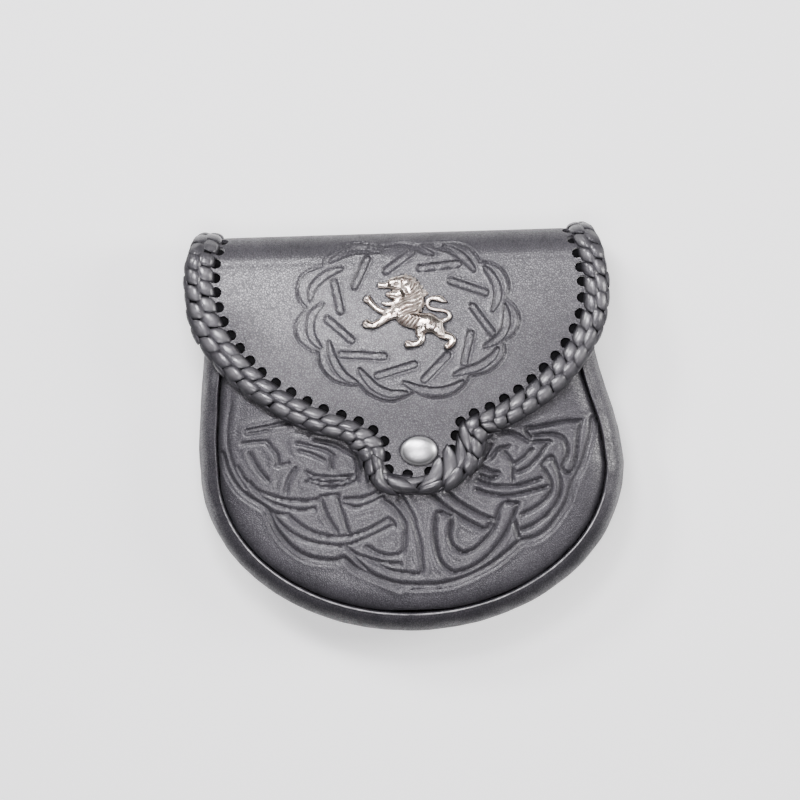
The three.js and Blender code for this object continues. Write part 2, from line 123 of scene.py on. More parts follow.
RIGHT_KNOT = (
    ((17.9, 61.5), (22, 57.6), (27.7, 53.7), (33.5, 50.6), (38.8, 49.2)),
    ((11.3, 60.9), (16.1, 56.1), (21.4, 52.2), (26.7, 48.7), (31.6, 46.1), (34.1, 45.6), (36.3, 48.8)),
    ((20.5, 51), (14.3, 52.8), (12.5, 46.2), (13.1, 37.9), (15, 32), (18.6, 28.5), (21.9, 28),
     (27.8, 29.9), (33.8, 33.9), (39.4, 40), (43.8, 47.4), (46.9, 54.8)),
    ((19.7, 50.2), (18.6, 43.5), (19.8, 38.9), (23, 36.3), (25.5, 36), (29.3, 37.4), (33.6, 41.4),
     (37.5, 46.7), (39.4, 52.9), (42.4, 56.2), (47.4, 55.6)),
    ((48.7, 44.7), (53.8, 46.6), (58.9, 50.2), (62.7, 54.3), (65, 59.6), (65.2, 65.5), (63.7, 70.9),
     (61.7, 74.7), (57.8, 71.1), (59.4, 68.1), (61.4, 63.5), (60.8, 59.8), (58.2, 56.1), (54, 53.3),
     (48.9, 51)),
    ((74.7, 89.3), (68.4, 89.1), (62.1, 88.1), (55.8, 87), (52.1, 86.7), (51.6, 85.1), (53.2, 82.9)),
    ((74.6, 88.5), (73.2, 83.1), (72.1, 74.8), (70.3, 68.2), (66.9, 68.3), (66.2, 70.4), (68.4, 75),
     (68.5, 79.1), (66.5, 82.5), (62, 84.1), (54.9, 83.7)),
    ((54.4, 80.8), (57.7, 81.1), (61.5, 80.8)),
    ((53.9, 77.9), (50, 74.3), (46.2, 71.9)),
    ((59.8, 79.4), (56.3, 74.5), (52, 70.4), (47.3, 68.5)),
    ((31, 65.7), (36.4, 63.6), (42.6, 62.8), (49.7, 63.4), (57.3, 65.7)),
    ((30.5, 61.9), (36.2, 59.9), (43.3, 59), (50.8, 60.1), (60.1, 62.3)),
    ((42.2, 77.4), (45, 73.6), (45.7, 69.4), (45.6, 65.6)),
    ((36.7, 74.7), (39.7, 78.3), (44.3, 79.4)),
    ((33.8, 74.8), (36.9, 80.1)),
    ((41.2, 85.8), (47.4, 84.3), (52.3, 81.3)),
    ((32.4, 71.5), (36.5, 69.3), (39.8, 68.7)),
    ((32.3, 67.7), (36.4, 66.3), (39.4, 67.1)),
    ((45.9, 48.1), (47.4, 41.8)),
)
LEFT_KNOT = (
    ((-64.1, 89.2), (-55.3, 90.6), (-46.4, 92.1)),
    ((-65.9, 83.8), (-61, 84.4), (-55.5, 84.4)),
    ((-63.9, 87.7), (-55.3, 88.9)),
    ((-43.2, 83.4), (-37.1, 81.7), (-31.1, 79.8), (-28.4, 77.8)),
    ((-42.3, 80.2), (-37.2, 78.5), (-32.2, 75.9)),
    ((-28.7, 77.5), (-29.4, 75.1), (-29.3, 72.2)),
    ((-39.7, 71.3), (-36.9, 69.7), (-29, 68.7), (-20.4, 69.2)),
    ((-40, 67.2), (-32.8, 64.9), (-25.4, 64.9), (-18.8, 66.9)),
    ((-38.2, 68), (-30.3, 66.6), (-22.3, 67.5)),
    ((-34.1, 60.8), (-30.4, 61.4), (-26.7, 61.3)),
    ((-33.9, 60.5), (-32.8, 55.4), (-30.5, 50.4), (-27.9, 46.4)),
    ((-27.3, 60.6), (-25.9, 55.6), (-24.6, 50.5), (-23.3, 46.2)),
    ((-24.3, 59.8), (-17.6, 59.6), (-12, 61.3), (-7.7, 63.7)),
    ((-24.4, 57.6), (-19.5, 56.2), (-13.4, 57.7), (-8.4, 60.1)),
    ((-68, 74.1), (-65.1, 68.6), (-59.2, 63.8), (-50.7, 60.6), (-41.5, 59.3), (-34.6, 59.8)),
    ((-63.3, 67.6), (-58, 61.3), (-50.2, 57.4), (-42.8, 55.7), (-36.9, 56.2)),
    ((-69.6, 103.1), (-71.3, 94.5), (-72.1, 86), (-71, 78.4), (-68.6, 71.4), (-64.9, 65.4)),
    ((-54.2, 54.8), (-50.4, 49.5), (-44.4, 44.7), (-35.9, 41.7), (-24.9, 40.4), (-15, 43.5), (-4.8, 48.1)),
    ((-48.1, 54), (-41.8, 48.5), (-34.6, 45.1), (-24.8, 44.1), (-14.9, 46.5), (-6.5, 50.9)),
    ((-6.5, 50.9), (-4.5, 49.6), (-3.9, 47.9)),
    ((-57.5, 57.1), (-52.7, 54.5), (-47.6, 53.8)),
    ((-44.2, 72.9), (-47.1, 68.1), (-48.5, 63.2)),
    ((-52.1, 74.3), (-46.9, 74.9)),
    ((-35.8, 84.3), (-27.3, 81.9), (-18.9, 76.8)),
    ((-18.9, 76.8), (-18.3, 72.1), (-18.8, 66.9)),
    ((-63, 79.6), (-59.7, 73.3), (-55.9, 68.3)),
    ((-55.5, 84), (-51.9, 79), (-50.9, 74.1)),
    ((-24.9, 40.4), (-20.1, 36.6), (-15.3, 34.7), (-9.2, 33.1), (-2.1, 32.1)),
    ((-21.1, 35.9), (-15.4, 29.7), (-8.2, 25.2), (-2.4, 22.3)),
    ((-2.2, 58.3), (0.7, 54.9), (3.8, 49.8), (6.1, 41.4), (6.7, 34.7), (6.5, 28.1), (-0.2, 28.3),
     (-6.4, 29.7), (-11.3, 32.4), (-16.6, 35.4)),
    ((-8.8, 58.6), (-4.7, 56.3), (0.1, 49.9), (0.4, 45.8), (-0.3, 38.3), (-2, 36.2), (-6.2, 35.5),
     (-11.2, 36.9), (-15.7, 39.6)),
    ((-8, 58.5), (-4.7, 55.5), (-1.9, 52.1), (0, 47.9)),
    ((-2.4, 62.5), (1.5, 56.2), (4.7, 49.8)),
)
BORDER = (
    ((3.9, 23.1), (14.3, 23.2), (22.7, 25.1), (31.1, 28.6), (37.5, 32.1), (43.9, 36.9), (48.1, 40.1),
     (53.6, 41.2), (58.7, 44), (63.4, 49.3), (67.4, 55.4), (69.6, 61.6), (71, 65.3), (74.1, 70.6),
     (76.4, 76.8), (78.7, 84.2), (79.3, 90)),
    ((-74, 79.9), (-71.5, 71.5), (-67.3, 64.8), (-62.3, 60.7), (-57.5, 57.6), (-55.4, 54.8),
     (-53.1, 48.6), (-47.5, 41.1), (-39.8, 36), (-30, 34.2), (-25.1, 35), (-20.9, 31.4), (-14.8, 28.3),
     (-8.6, 25.6), (-2.4, 23.8), (3.9, 23.1)),
)
BORDER_LINE = (
    ((3.8, 21.3), (14.2, 21.4), (23, 23.2), (31.9, 26.9), (38.5, 30.4), (44.9, 35.4), (48.9, 38.4),
     (54.4, 39.5), (59.9, 42.7), (64.9, 48.2), (69, 54.5), (71.3, 60.9), (72.6, 64.6), (75.7, 69.9),
     (78, 76.3), (80.3, 84.2), (80.9, 90)),
    ((-75.2, 78.3), (-72.7, 69.9), (-68.5, 63.2), (-63.5, 59.1), (-58.7, 56), (-56.6, 53.2),
     (-54.3, 47), (-48.7, 39.5), (-41, 34.4), (-30.4, 32.6), (-25.5, 33.4), (-21.3, 29.8),
     (-15.2, 26.7), (-9, 24), (-2.8, 22.2), (3.8, 21.3)),
)
LION_LIMBS = (
    ((-4.4, 0.6, 2.4), (-1.5, -2.4, 3.9), (3.2, -4.4, 3.5), (8.6, -4.9, 3.9)),
    ((8.4, -5.2, 4.2), (12, -6.4, 3)),
    ((0.2, 9.4, 4.6), (1.6, 6.2, 4.6), (1.4, 2.8, 4.6), (-1.2, -0.4, 3.6)),
    ((-3, 12.4, 2.9), (0.2, 11, 3.6)),
    ((-3.4, 11.7, 3.1), (-6, 11.5, 2.9), (-7.6, 11.2, 2.3), (-8.6, 10.9, 1.4)),
    ((-8, 10.8, 1.3), (-10.6, 10.7, 1.15), (-12, 10.8, 1.2)),
    ((-3.4, 9.4, 2.2), (-4.6, 9.6, 1.8)),
    ((-0.9, 9.6, 2), (0.1, 7.4, 1)),
    ((-3, 7.2, 2.2), (-5.4, 6.6, 2), (-7.4, 6.7, 1.6), (-8.8, 7, 0.9)),
    ((-3.8, 9, 2.2), (-5.6, 9.4, 1.6)),
    ((-3.4, 4.6, 1.7), (-6.2, 3.2, 1.1), (-9, 2.9, 0.9), (-11, 3.3, 0.4)),
    ((-4.6, 0.6, 2), (-7.6, -0.1, 1.5), (-9.4, -0.5, 1.2), (-12.2, 0.3, 1.15), (-14.6, 2.2, 1.15),
     (-16.2, 4, 1.3), (-17.2, 5, 1.75)),
    ((-5.2, -1.2, 2.3), (-8.2, -2.2, 1.9), (-11.2, -4.4, 1.45), (-14, -6, 1.3), (-16, -6, 1.4),
     (-17.6, -5.4, 1.8)),
    ((6.2, -6.8, 2.9), (4.6, -9.2, 1.9), (5.4, -11.4, 1.4), (4.6, -13.2, 1.25), (2.4, -13.9, 1.3),
     (-0.6, -14, 1.5)),
    ((11.2, -6.8, 2.9), (14, -9.9, 1.9), (16.8, -10.9, 1.5), (18.2, -12.2, 1.4), (17.2, -14.2, 1.35),
     (15.6, -15.2, 1.2)),
    ((12.4, -4.6, 1.2), (15.2, -3.9, 0.85), (16.9, -2.6, 0.75), (16.5, -0.9, 0.72), (14.4, 0.1, 0.7),
     (11.2, 0.5, 0.7), (8.4, 1.5, 0.72), (7.7, 3.4, 0.75), (8.8, 5, 0.8), (10.6, 5.6, 0.85)),
    ((10.2, 5.4, 0.9), (12.4, 5.2, 1.3), (14.2, 4.4, 1), (15.6, 3.8, 0.35)),
    ((11.6, 5.6, 0.8), (13.2, 5.9, 0.6), (14.2, 5.6, 0.25)),
)
LION_MANE = (
    ((4.8, 6.5), (1.8, 4.6), (-2, 3.8), (-5.4, 2.3)),
    ((5.4, 4.9), (2.5, 3), (-1.3, 2.7), (-4.7, 1.2)),
    ((5, 3), (2.5, 1.5), (-0.5, 0.8), (-3.9, -0.7)),
    ((4, 1.3), (1.4, 0), (-1.3, -1.1), (-3.9, -2.3)),
    ((4.6, 8.2), (2.5, 6.3), (-0.5, 4.9), (-3.5, 4.4)),
    ((3.7, 9.9), (2.7, 8.2), (1, 6.5), (-0.9, 5.9)),
    ((2.5, 11.2), (2, 9.5), (1, 8)),
    ((1.4, 12.1), (1.2, 10.6), (0.6, 9.5)),
    ((-2.8, 12.5), (-3.1, 11.4), (-2.8, 9.9), (-1.6, 8.7), (-1.1, 7.6), (-0.1, 6.8)),
    ((2.5, -0.7), (0.6, -1.1), (-1.3, -2.1)),
    ((-5.8, 1.2), (-6.6, 0), (-6.9, -1.5)),
)
LION_RIBS = (
    ((-1.6, -2.6), (-4.5, -4.7)),
    ((0.1, -2.8), (-3.1, -5.9)),
    ((1.8, -3), (-1.4, -6.4)),
    ((3.1, -3.4), (0.3, -6.9)),
    ((4.5, -3.8), (1.9, -7.3)),
)
LION_FACE = (
    ((-9.2, 9), (-6.6, 9), (-5, 8.5), (-3.1, 9)),
    ((-6, 10.8), (-5.4, 11.5), (-4.7, 11.4), (-4.5, 10.8), (-5.2, 10.5), (-6, 10.8)),
    ((-12, 10.1), (-10.3, 9.7), (-8.5, 9.5)),
    ((-8.8, 6.5), (-6.6, 6.1), (-4.7, 5.6), (-3.1, 6.3)),
)
LION_CREASES = (
    ((7.5, -9.1), (10.5, -10.6), (14.7, -11)),
    ((13.5, -4.5), (13.7, -7.2), (14.3, -9.5)),
    ((-6.9, -3.8), (-9.2, -5.3), (-12.2, -6.4)),
    ((7.1, -8.7), (6.3, -9.8), (5.6, -11.3)),
    ((-8.8, 0), (-10.3, -1.1), (-11.5, -1.9)),
    ((-0.5, -13.4), (1, -14.4)),
    ((16.2, -14.4), (16.5, -13.2)),
    ((-18.3, -5.7), (-17.2, -6.8)),
    ((-17.9, 4.6), (-16.8, 4.2)),
)
LION_SPIKES = (  # x, y, way x, way y
    (-1.1, 15.2, -0.28, 0.96), (0.6, 14.5, -0.06, 1.0), (2.5, 13.5, 0.26, 0.96), (4.0, 12.0, 0.6, 0.8),
    (5.4, 10.2, 0.89, 0.45), (6.5, 8.5, 1.0, 0.09), (7.6, 7.3, 0.99, -0.11), (6.5, 6.5, 0.96, -0.26),
    (5.8, 1.9, 0.62, -0.79), (5.0, 0.0, 0.45, -0.89), (6.1, 3.0, 0.71, -0.7),
)

# Rows of the pouch's form, as in the CAD source

BODY_ROWS = np.array([  # y, half width, lean, shoulder
    (72, 88.2, 4.2, 25.6), (85, 87.6, 3.2, 25.6), (95, 86.0, 2.3, 25.4), (105, 84.1, 1.2, 24.9),
    (115, 82.2, 0.4, 24.0), (125, 81.0, 0.1, 22.8), (140, 80.0, 0.0, 21.0), (157, 79.0, 0.0, 21.0),
])
FLAP_ROWS = np.array([  # y, height of the middle, sag to the sides
    (60, 34.9, 2.4), (72, 35.9, 2.6), (85, 36.4, 2.8), (100, 35.9, 2.8), (120, 33.7, 2.2),
    (140, 30.3, 0.9), (156.5, 27.0, 0.0),
])
LACE_HOLES = (
    (-70.0, 194.5), (-70.5, 182.5), (-71.5, 170.5), (-74.6, 158.9), (-74.8, 146.8), (-72.1, 134.6),
    (-65.6, 123.3), (-56.9, 113.0), (-44.8, 104.3), (-31.7, 97.0), (-17.4, 91.5), (-7.2, 83.0),
    (-5.7, 71.3), (11.2, 69.9), (20.6, 78.6), (24.7, 90.1), (36.9, 95.8), (48.9, 102.6),
    (59.8, 111.3), (69.1, 121.4), (75.4, 133.4), (76.8, 147.0), (75.2, 158.8), (71.7, 171.7),
    (70.5, 183.7), (70.0, 195.7),
)
LACE_RIM = (
    (-81.0, 194.5), (-81.5, 182.5), (-84.3, 170.5), (-87.3, 159.2), (-87.9, 145.6), (-85.2, 130.4),
    (-76.0, 115.9), (-64.6, 104.5), (-51.0, 94.8), (-36.2, 87.5), (-22.3, 82.8), (-18.2, 76.0),
    (-12.4, 64.9), (12.4, 61.3), (31.6, 71.6), (35.9, 83.2), (42.6, 86.9), (55.3, 93.6),
    (67.6, 102.9), (78.0, 114.6), (85.9, 130.4), (87.7, 146.0), (86.2, 159.3), (82.5, 172.0),
    (80.5, 183.7), (79.8, 195.7),
)


# Plain mathematics of the form

def to_frame(points: np.ndarray) -> np.ndarray:
    """Bring drawing points in millimetres to metres in the shared frame.

    Args:
        points: Points along the first axes, x, y, z along the last one.

    Returns:
        The same points in metres.
    """
    return (np.asarray(points, float) + SHIFT) * MM


def smooth(value: np.ndarray) -> np.ndarray:
    """Clamp to 0..1 and ease both ends."""
    held = np.clip(value, 0.0, 1.0)
    return held * held * (3.0 - 2.0 * held)


def column(rows: np.ndarray, at: np.ndarray, which: int) -> np.ndarray:
    """Read one column of a table between its rows, along a smooth curve.

    Args:
        rows: The table, with its key in the first column.
        at: Keys to read at.
        which: The column to read.

    Returns:
        One value for each key.
    """
    keys, values = rows[:, 0], rows[:, which]
    held = np.clip(at, keys[0], keys[-1])
    last = len(keys) - 1
    i = np.clip(np.searchsorted(keys, held, side="left") - 1, 0, last - 1)
    before, after = np.maximum(i - 1, 0), np.minimum(i + 2, last)
    step = keys[i + 1] - keys[i]
    share = (held - keys[i]) / step
    slope_a = (values[i + 1] - values[before]) / (keys[i + 1] - keys[before]) * step
    slope_b = (values[after] - values[i]) / (keys[after] - keys[i]) * step
    s2, s3 = share ** 2, share ** 3
    return (
        (2 * s3 - 3 * s2 + 1) * values[i] + (s3 - 2 * s2 + share) * slope_a
        + (3 * s2 - 2 * s3) * values[i + 1] + (s3 - s2) * slope_b
    )


def rounded_line(points: Line, step: float = 0.7, closed: bool = False) -> np.ndarray:
    """Draw a smooth curve through points.

    Args:
        points: Corners of the line.
        step: Rough distance between the points of the result.
        closed: Whether the end runs back into the start.

    Returns:
        Points along the curve.
    """
    p = np.asarray(points, float)
    if len(p) == 2 and not closed:
        count = max(int(np.linalg.norm(p[1] - p[0]) / step), 1)
        return p[0] + (p[1] - p[0]) * np.linspace(0, 1, count + 1)[:, None]
    if closed:
        p = np.vstack([p[-1], p, p[0], p[1]])
    else:
        p = np.vstack([2 * p[0] - p[1], p, 2 * p[-1] - p[-2]])
    out = []
    for a, b, c, d in zip(p[:-3], p[1:-2], p[2:-1], p[3:]):
        count = max(int(np.linalg.norm(c - b) / step), 2)
        t = np.linspace(0, 1, count, endpoint=False)[:, None]
        out.append(0.5 * (2 * b + (c - a) * t + (2 * a - 5 * b + 4 * c - d) * t ** 2
                          + (3 * b - a - 3 * c + d) * t ** 3))
    out.append(p[-2][None, :])
    return np.vstack(out)


def distance_to(points: np.ndarray, line: np.ndarray, reach: float) -> tuple[np.ndarray, np.ndarray]:
    """Measure how far points lie from a line, and where along it.

    Args:
        points: Points in the plane.
        line: Points of the line.
        reach: Distance past which a point isn't measured.

    Returns:
        The distances, and the share of the line's length at the nearest place.
    """
    gap = np.full(len(points), 1e3)
    along = np.zeros(len(points))
    low, high = line.min(0) - reach, line.max(0) + reach
    near = np.where(((points >= low) & (points <= high)).all(1))[0]
    p = points[near]
    best, where = np.full(len(near), 1e3), np.zeros(len(near))
    lengths = np.linalg.norm(np.diff(line, axis=0), axis=1)
    start = np.concatenate([[0.0], np.cumsum(lengths)])
    for k, (a, b) in enumerate(zip(line[:-1], line[1:])):
        span = b - a
        t = np.clip(((p - a) @ span) / max(float(span @ span), 1e-9), 0, 1)
        d = np.linalg.norm(p - (a + t[:, None] * span), axis=1)
        closer = d < best
        best[closer] = d[closer]
        where[closer] = (start[k] + t[closer] * lengths[k]) / start[-1]
    gap[near], along[near] = best, where
    return gap, along


def value_noise(points: np.ndarray, cell: float, seed: int) -> np.ndarray:
    """Give smooth noise between -1 and 1 for points in the plane or in space.

    Args:
        points: Points in millimetres.
        cell: Rough size of a patch in millimetres.
        seed: Chooses the pattern.

    Returns:
        One value for each point.
    """
    rng = np.random.default_rng(seed)
    total = np.zeros(len(points))
    for _ in range(7):
        way = rng.normal(size=points.shape[1])
        way /= np.linalg.norm(way)
        wave = rng.uniform(0.7, 1.5) * 2 * math.pi / cell / 2
        total += np.sin(points @ way * wave + rng.uniform(0, 2 * math.pi))
    return total / 4.2


def body_edge(y: np.ndarray, side: float, inset: float = 0.0) -> np.ndarray:
    """Give x of the pouch's outline above its widest place, on the side -1 or 1."""
    return column(BODY_ROWS, y, 2) + side * (column(BODY_ROWS, y, 1) - inset)


def shoulder_z(y: np.ndarray) -> np.ndarray:
    """Give the height of the gusset's shoulder."""
    return BACK_FACE_Z + column(BODY_ROWS, y, 3)


def pouch_outline(arm_top: float, arm_steps: int, bowl_steps: int) -> np.ndarray:
    """Draw the pouch's outline from the left arm's top round the bowl to the right arm's top.

    Args:
        arm_top: Height of both ends.
        arm_steps: Points on each arm.
        bowl_steps: Points on the bowl.

    Returns:
        The outline's points.
    """
    arm = np.linspace(arm_top, WIDEST_Y, arm_steps, endpoint=False)
    angle = np.linspace(math.pi, 2 * math.pi, bowl_steps)
    bowl = np.stack([BOWL_X + BOWL_HALF * np.cos(angle), WIDEST_Y + BOWL_DROP * np.sin(angle)], 1)
    left, right = (np.stack([body_edge(arm, side), arm], 1) for side in (-1, 1))
    return np.vstack([left, bowl, right[::-1]])


def off_right(path: np.ndarray) -> np.ndarray:
    """Give the unit vectors that point to the right of a path.

    Args:
        path: Points in the plane.

    Returns:
        One vector for each point.
    """
    ahead = np.gradient(path, axis=0)
    ahead /= np.linalg.norm(ahead, axis=1)[:, None]
    return np.stack([ahead[:, 1], -ahead[:, 0]], 1)


def lengths_along(line: np.ndarray) -> np.ndarray:
    """Give each point's distance along a line from its start."""
    return np.concatenate([[0.0], np.cumsum(np.linalg.norm(np.diff(line, axis=0), axis=1))])


def follow(
    line: np.ndarray, steps: np.ndarray, at: np.ndarray, reach: float,
) -> tuple[np.ndarray, np.ndarray]:
    """Read a line between its points.

    Args:
        line: Points of the line.
        steps: The distance of each point along it.
        at: Distances to read at.
        reach: How far ahead and back its direction is taken.

    Returns:
        The places, and the unit vectors along the line there.
    """
    here, back, on = (
        np.stack([np.interp(at + off, steps, line[:, k]) for k in (0, 1)], 1) for off in (0, -reach, reach))
    ahead = on - back
    return here, ahead / np.maximum(np.linalg.norm(ahead, axis=1), 1e-6)[:, None]


def turned_by(points: np.ndarray, angle: float) -> np.ndarray:
    """Turn points in the plane by an angle in radians."""
    (x, y), cos, sin = points.T, math.cos(angle), math.sin(angle)
    return np.stack([x * cos - y * sin, x * sin + y * cos], 1)


@dataclass(frozen=True)
class SheetForm:
    """Form of the one leather sheet that is the back, the fold and the flap."""

    fold_y: float = 156.5
    fold_r: float = 13.5
    back_z: float = 7.0
    thickness: float = 2.4
    sag_middle: float = 3.55
    sag_at: float = 60.0

    def point(self, x: np.ndarray, q: np.ndarray, depth: np.ndarray) -> np.ndarray:
        """Place a point of the sheet.

        Args:
            x: Sideways place.
            q: Height on the flap, which goes on as a length round the fold and down the back.
            depth: Depth under the outer face.

        Returns:
            Points in the drawing frame.
        """
        x, q, depth = np.broadcast_arrays(np.asarray(x, float), q, depth)

        def rise(at: np.ndarray) -> np.ndarray:
            """Give the flap's height over the back."""
            sag = column(FLAP_ROWS, at, 2) * ((x - self.sag_middle) / self.sag_at) ** 2
            return column(FLAP_ROWS, at, 1) - sag

        slope = rise(q + 0.5) - rise(q - 0.5)
        tilt = np.hypot(1.0, slope)
        flat = np.stack([x, q + slope / tilt * depth, self.back_z + rise(q) - depth / tilt], -1)
        past = q - self.fold_y
        angle = np.clip(past / self.fold_r, 0, math.pi)
        radius = self.fold_r - depth
        down = np.maximum(past - math.pi * self.fold_r, 0)
        turned = np.stack([
            x, self.fold_y + radius * np.sin(angle) - down,
            self.back_z + self.fold_r + radius * np.cos(angle),
        ], -1)
        return np.where((past <= 0)[..., None], flat, turned)


@dataclass(frozen=True)
class LaceLine:
    """The line of lacing holes and the braid's outer edge that belongs to it."""

    overlap: float = 3.9

    @property
    def last(self) -> int:
        """Number of the last row of holes."""
        return len(LACE_HOLES) - 1

    @staticmethod
    def _curve(points: Line, row: np.ndarray) -> np.ndarray:
        """Read a centripetal curve through points.

        Args:
            points: The points, one for each row number.
            row: Row numbers to read at.

        Returns:
            The places on the curve.
        """
        p = np.asarray(points, float)
        p = np.vstack([2 * p[0] - p[1], p, 2 * p[-1] - p[-2]])
        row = np.clip(np.asarray(row, float), 0, len(points) - 1)
        i = np.minimum(row.astype(int), len(points) - 2)
        t = (row - i)[..., None]
        a, b, c, d = p[i], p[i + 1], p[i + 2], p[i + 3]

        def gap(u: np.ndarray, v: np.ndarray) -> np.ndarray:
            """Give the curve's step between two points."""
            return np.linalg.norm(v - u, axis=-1, keepdims=True) ** 0.5

        ab, bc, cd = gap(a, b), gap(b, c), gap(c, d)
        m1 = ((b - a) / ab - (c - a) / (ab + bc) + (c - b) / bc) * bc
        m2 = ((c - b) / bc - (d - b) / (bc + cd) + (d - c) / cd) * bc
        return b + m1 * t + (3 * (c - b) - 2 * m1 - m2) * t ** 2 + (2 * (b - c) + m1 + m2) * t ** 3

    def at(self, row: np.ndarray) -> tuple[np.ndarray, np.ndarray, np.ndarray]:
        """Read the lacing line.

        Args:
            row: Row numbers, whole or between.

        Returns:
            The hole line, the unit vector towards the rim, and the braid's width.
        """
        hole = self._curve(LACE_HOLES, row)
        rim = self._curve(LACE_RIM, row)
        width = np.linalg.norm(rim - hole, axis=-1)
        return hole, (rim - hole) / width[..., None], width

    def leather_edge(self, row: np.ndarray) -> np.ndarray:
        """Give the leather's edge under the braid, as x and q."""
        hole, to_rim, width = self.at(row)
        return hole + to_rim * (width - self.overlap)[..., None]


SHEET = SheetForm()
LACING = LaceLine()


# Modelling helpers round bpy.ops

def nothing_selected() -> None:
    """Leave edit mode and deselect everything."""
    if bpy.context.object and bpy.context.object.mode != "OBJECT":
        bpy.ops.object.mode_set(mode="OBJECT")
    bpy.ops.object.select_all(action="DESELECT")


def activate(piece: bpy.types.Object) -> bpy.types.Object:
    """Select one piece alone and make it the active one.

    Args:
        piece: The piece.

    Returns:
        The same piece.
    """
    nothing_selected()
    piece.select_set(True)
    bpy.context.view_layer.objects.active = piece
    return piece


def coordinates(piece: bpy.types.Object) -> np.ndarray:
    """Read a mesh's points.

    Args:
        piece: The piece.

    Returns:
        The points in metres.
    """
    flat = np.empty(len(piece.data.vertices) * 3)
    piece.data.vertices.foreach_get("co", flat)
    return flat.reshape(-1, 3)


def move_points(piece: bpy.types.Object, points: np.ndarray) -> None:
    """Write a mesh's points."""
    piece.data.vertices.foreach_set("co", np.ascontiguousarray(points, np.float32).ravel())
    piece.data.update()


def apply_modifier(piece: bpy.types.Object, kind: str, **settings: object) -> None:
    """Add a modifier and apply it.

    Args:
        piece: The piece.
        kind: Blender's name of the modifier's type.
        settings: Properties of the modifier.
    """
    activate(piece)
    modifier = piece.modifiers.new(kind.lower(), kind)
    for key, value in settings.items():
        setattr(modifier, key, value)
    bpy.ops.object.modifier_apply(modifier=modifier.name)


def smooth_shading(piece: bpy.types.Object, degrees: float = 40.0) -> None:
    """Shade a piece smooth but keep the edges sharper than an angle."""
    activate(piece)
    bpy.ops.object.shade_smooth_by_angle(angle=math.radians(degrees))


def outward(piece: bpy.types.Object, merge: bool = True) -> None:
    """Turn all faces outwards.

    Args:
        piece: The piece.
        merge: Whether doubles are merged first.
    """
    activate(piece)
    bpy.ops.object.mode_set(mode="EDIT")
    bpy.ops.mesh.select_all(action="SELECT")
    if merge:
        bpy.ops.mesh.remove_doubles(threshold=MERGE_M)
    bpy.ops.mesh.normals_make_consistent(inside=False)
    bpy.ops.object.mode_set(mode="OBJECT")


def named(name: str) -> bpy.types.Object:
    """Name the piece that an operator has just made.

    Args:
        name: The name.

    Returns:
        The piece.
    """
    piece = bpy.context.object
    piece.name = piece.data.name = name
    return piece


def grid(name: str, columns: int, rows: int) -> tuple[bpy.types.Object, np.ndarray, np.ndarray]:
    """Add a flat grid, ready to be shaped.

    Args:
        name: Name of the piece.
        columns: Faces across.
        rows: Faces along.

    Returns:
        The piece, and each point's share across and along it, from 0 to 1.
    """
    nothing_selected()
    bpy.ops.mesh.primitive_grid_add(x_subdivisions=columns, y_subdivisions=rows, size=2)
    piece = named(name)
    flat = coordinates(piece)
    return piece, flat[:, 0] / 2 + 0.5, flat[:, 1] / 2 + 0.5


def swept(name: str, rings: np.ndarray, ends: bool = True) -> bpy.types.Object:
    """Make a tube from rings of points.

    Args:
        name: Name of the piece.
        rings: Points of every ring, in millimetres of the drawing frame.
        ends: Whether both ends are closed; otherwise the last ring runs back into the first.

    Returns:
        The closed piece.
    """
    count, around = rings.shape[:2]
    loops = np.concatenate([rings, rings[:, :1]], 1)
    if not ends:
        loops = np.concatenate([loops, loops[:1]], 0)
    piece, u, v = grid(name, around, loops.shape[0] - 1)
    across = np.rint(u * around).astype(int)
    along = np.rint(v * (loops.shape[0] - 1)).astype(int)
    move_points(piece, to_frame(loops[along, across]))
    activate(piece)
    bpy.ops.object.mode_set(mode="EDIT")
    bpy.ops.mesh.select_all(action="SELECT")
    bpy.ops.mesh.remove_doubles(threshold=MERGE_M)
    if ends:
        bpy.ops.mesh.select_all(action="DESELECT")
        bpy.ops.mesh.select_mode(type="EDGE")
        bpy.ops.mesh.select_non_manifold()
        bpy.ops.mesh.edge_face_add()
        bpy.ops.mesh.select_mode(type="VERT")
    outward(piece, merge=False)
    return piece


def unit_ball(segments: int, rings: int) -> bpy.types.Object:
    """Add a unit sphere that other shapes are copied from.

    Args:
        segments: Faces round it.
        rings: Faces from pole to pole.

    Returns:
        The sphere.
    """
    nothing_selected()
    bpy.ops.mesh.primitive_uv_sphere_add(segments=segments, ring_count=rings, radius=1)
    return bpy.context.object


def ball_as_bar(points: np.ndarray) -> tuple[np.ndarray, np.ndarray, np.ndarray]:
    """Read a unit sphere as a bar that runs from its upper pole to its lower one.

    Args:
        points: The sphere's points.

    Returns:
        Each point's share along the bar, its distance off the axis, and the unit vector towards it.
    """
    share = np.arccos(np.clip(points[:, 2], -1, 1)) / math.pi
    off = np.hypot(points[:, 0], points[:, 1])
    return share, off, points[:, :2] / np.maximum(off, 1e-6)[:, None]


def joined(name: str, pieces: Sequence[bpy.types.Object]) -> bpy.types.Object:
    """Join pieces into the first one.

    Args:
        name: Name of the result.
        pieces: The pieces.

    Returns:
        The joined piece.
    """
    nothing_selected()
    for piece in pieces:
        piece.select_set(True)
    bpy.context.view_layer.objects.active = pieces[0]
    bpy.ops.object.join()
    return named(name)


def bundled(name: str, parts: Sequence[bpy.types.Object]) -> bpy.types.Object:
    """Join parts that touch but don't merge, and turn their faces outwards.

    Args:
        name: Name of the piece.
        parts: The parts.

    Returns:
        The finished piece.
    """
    piece = joined(name, parts)
    outward(piece, merge=False)
    smooth_shading(piece, 70)
    return piece


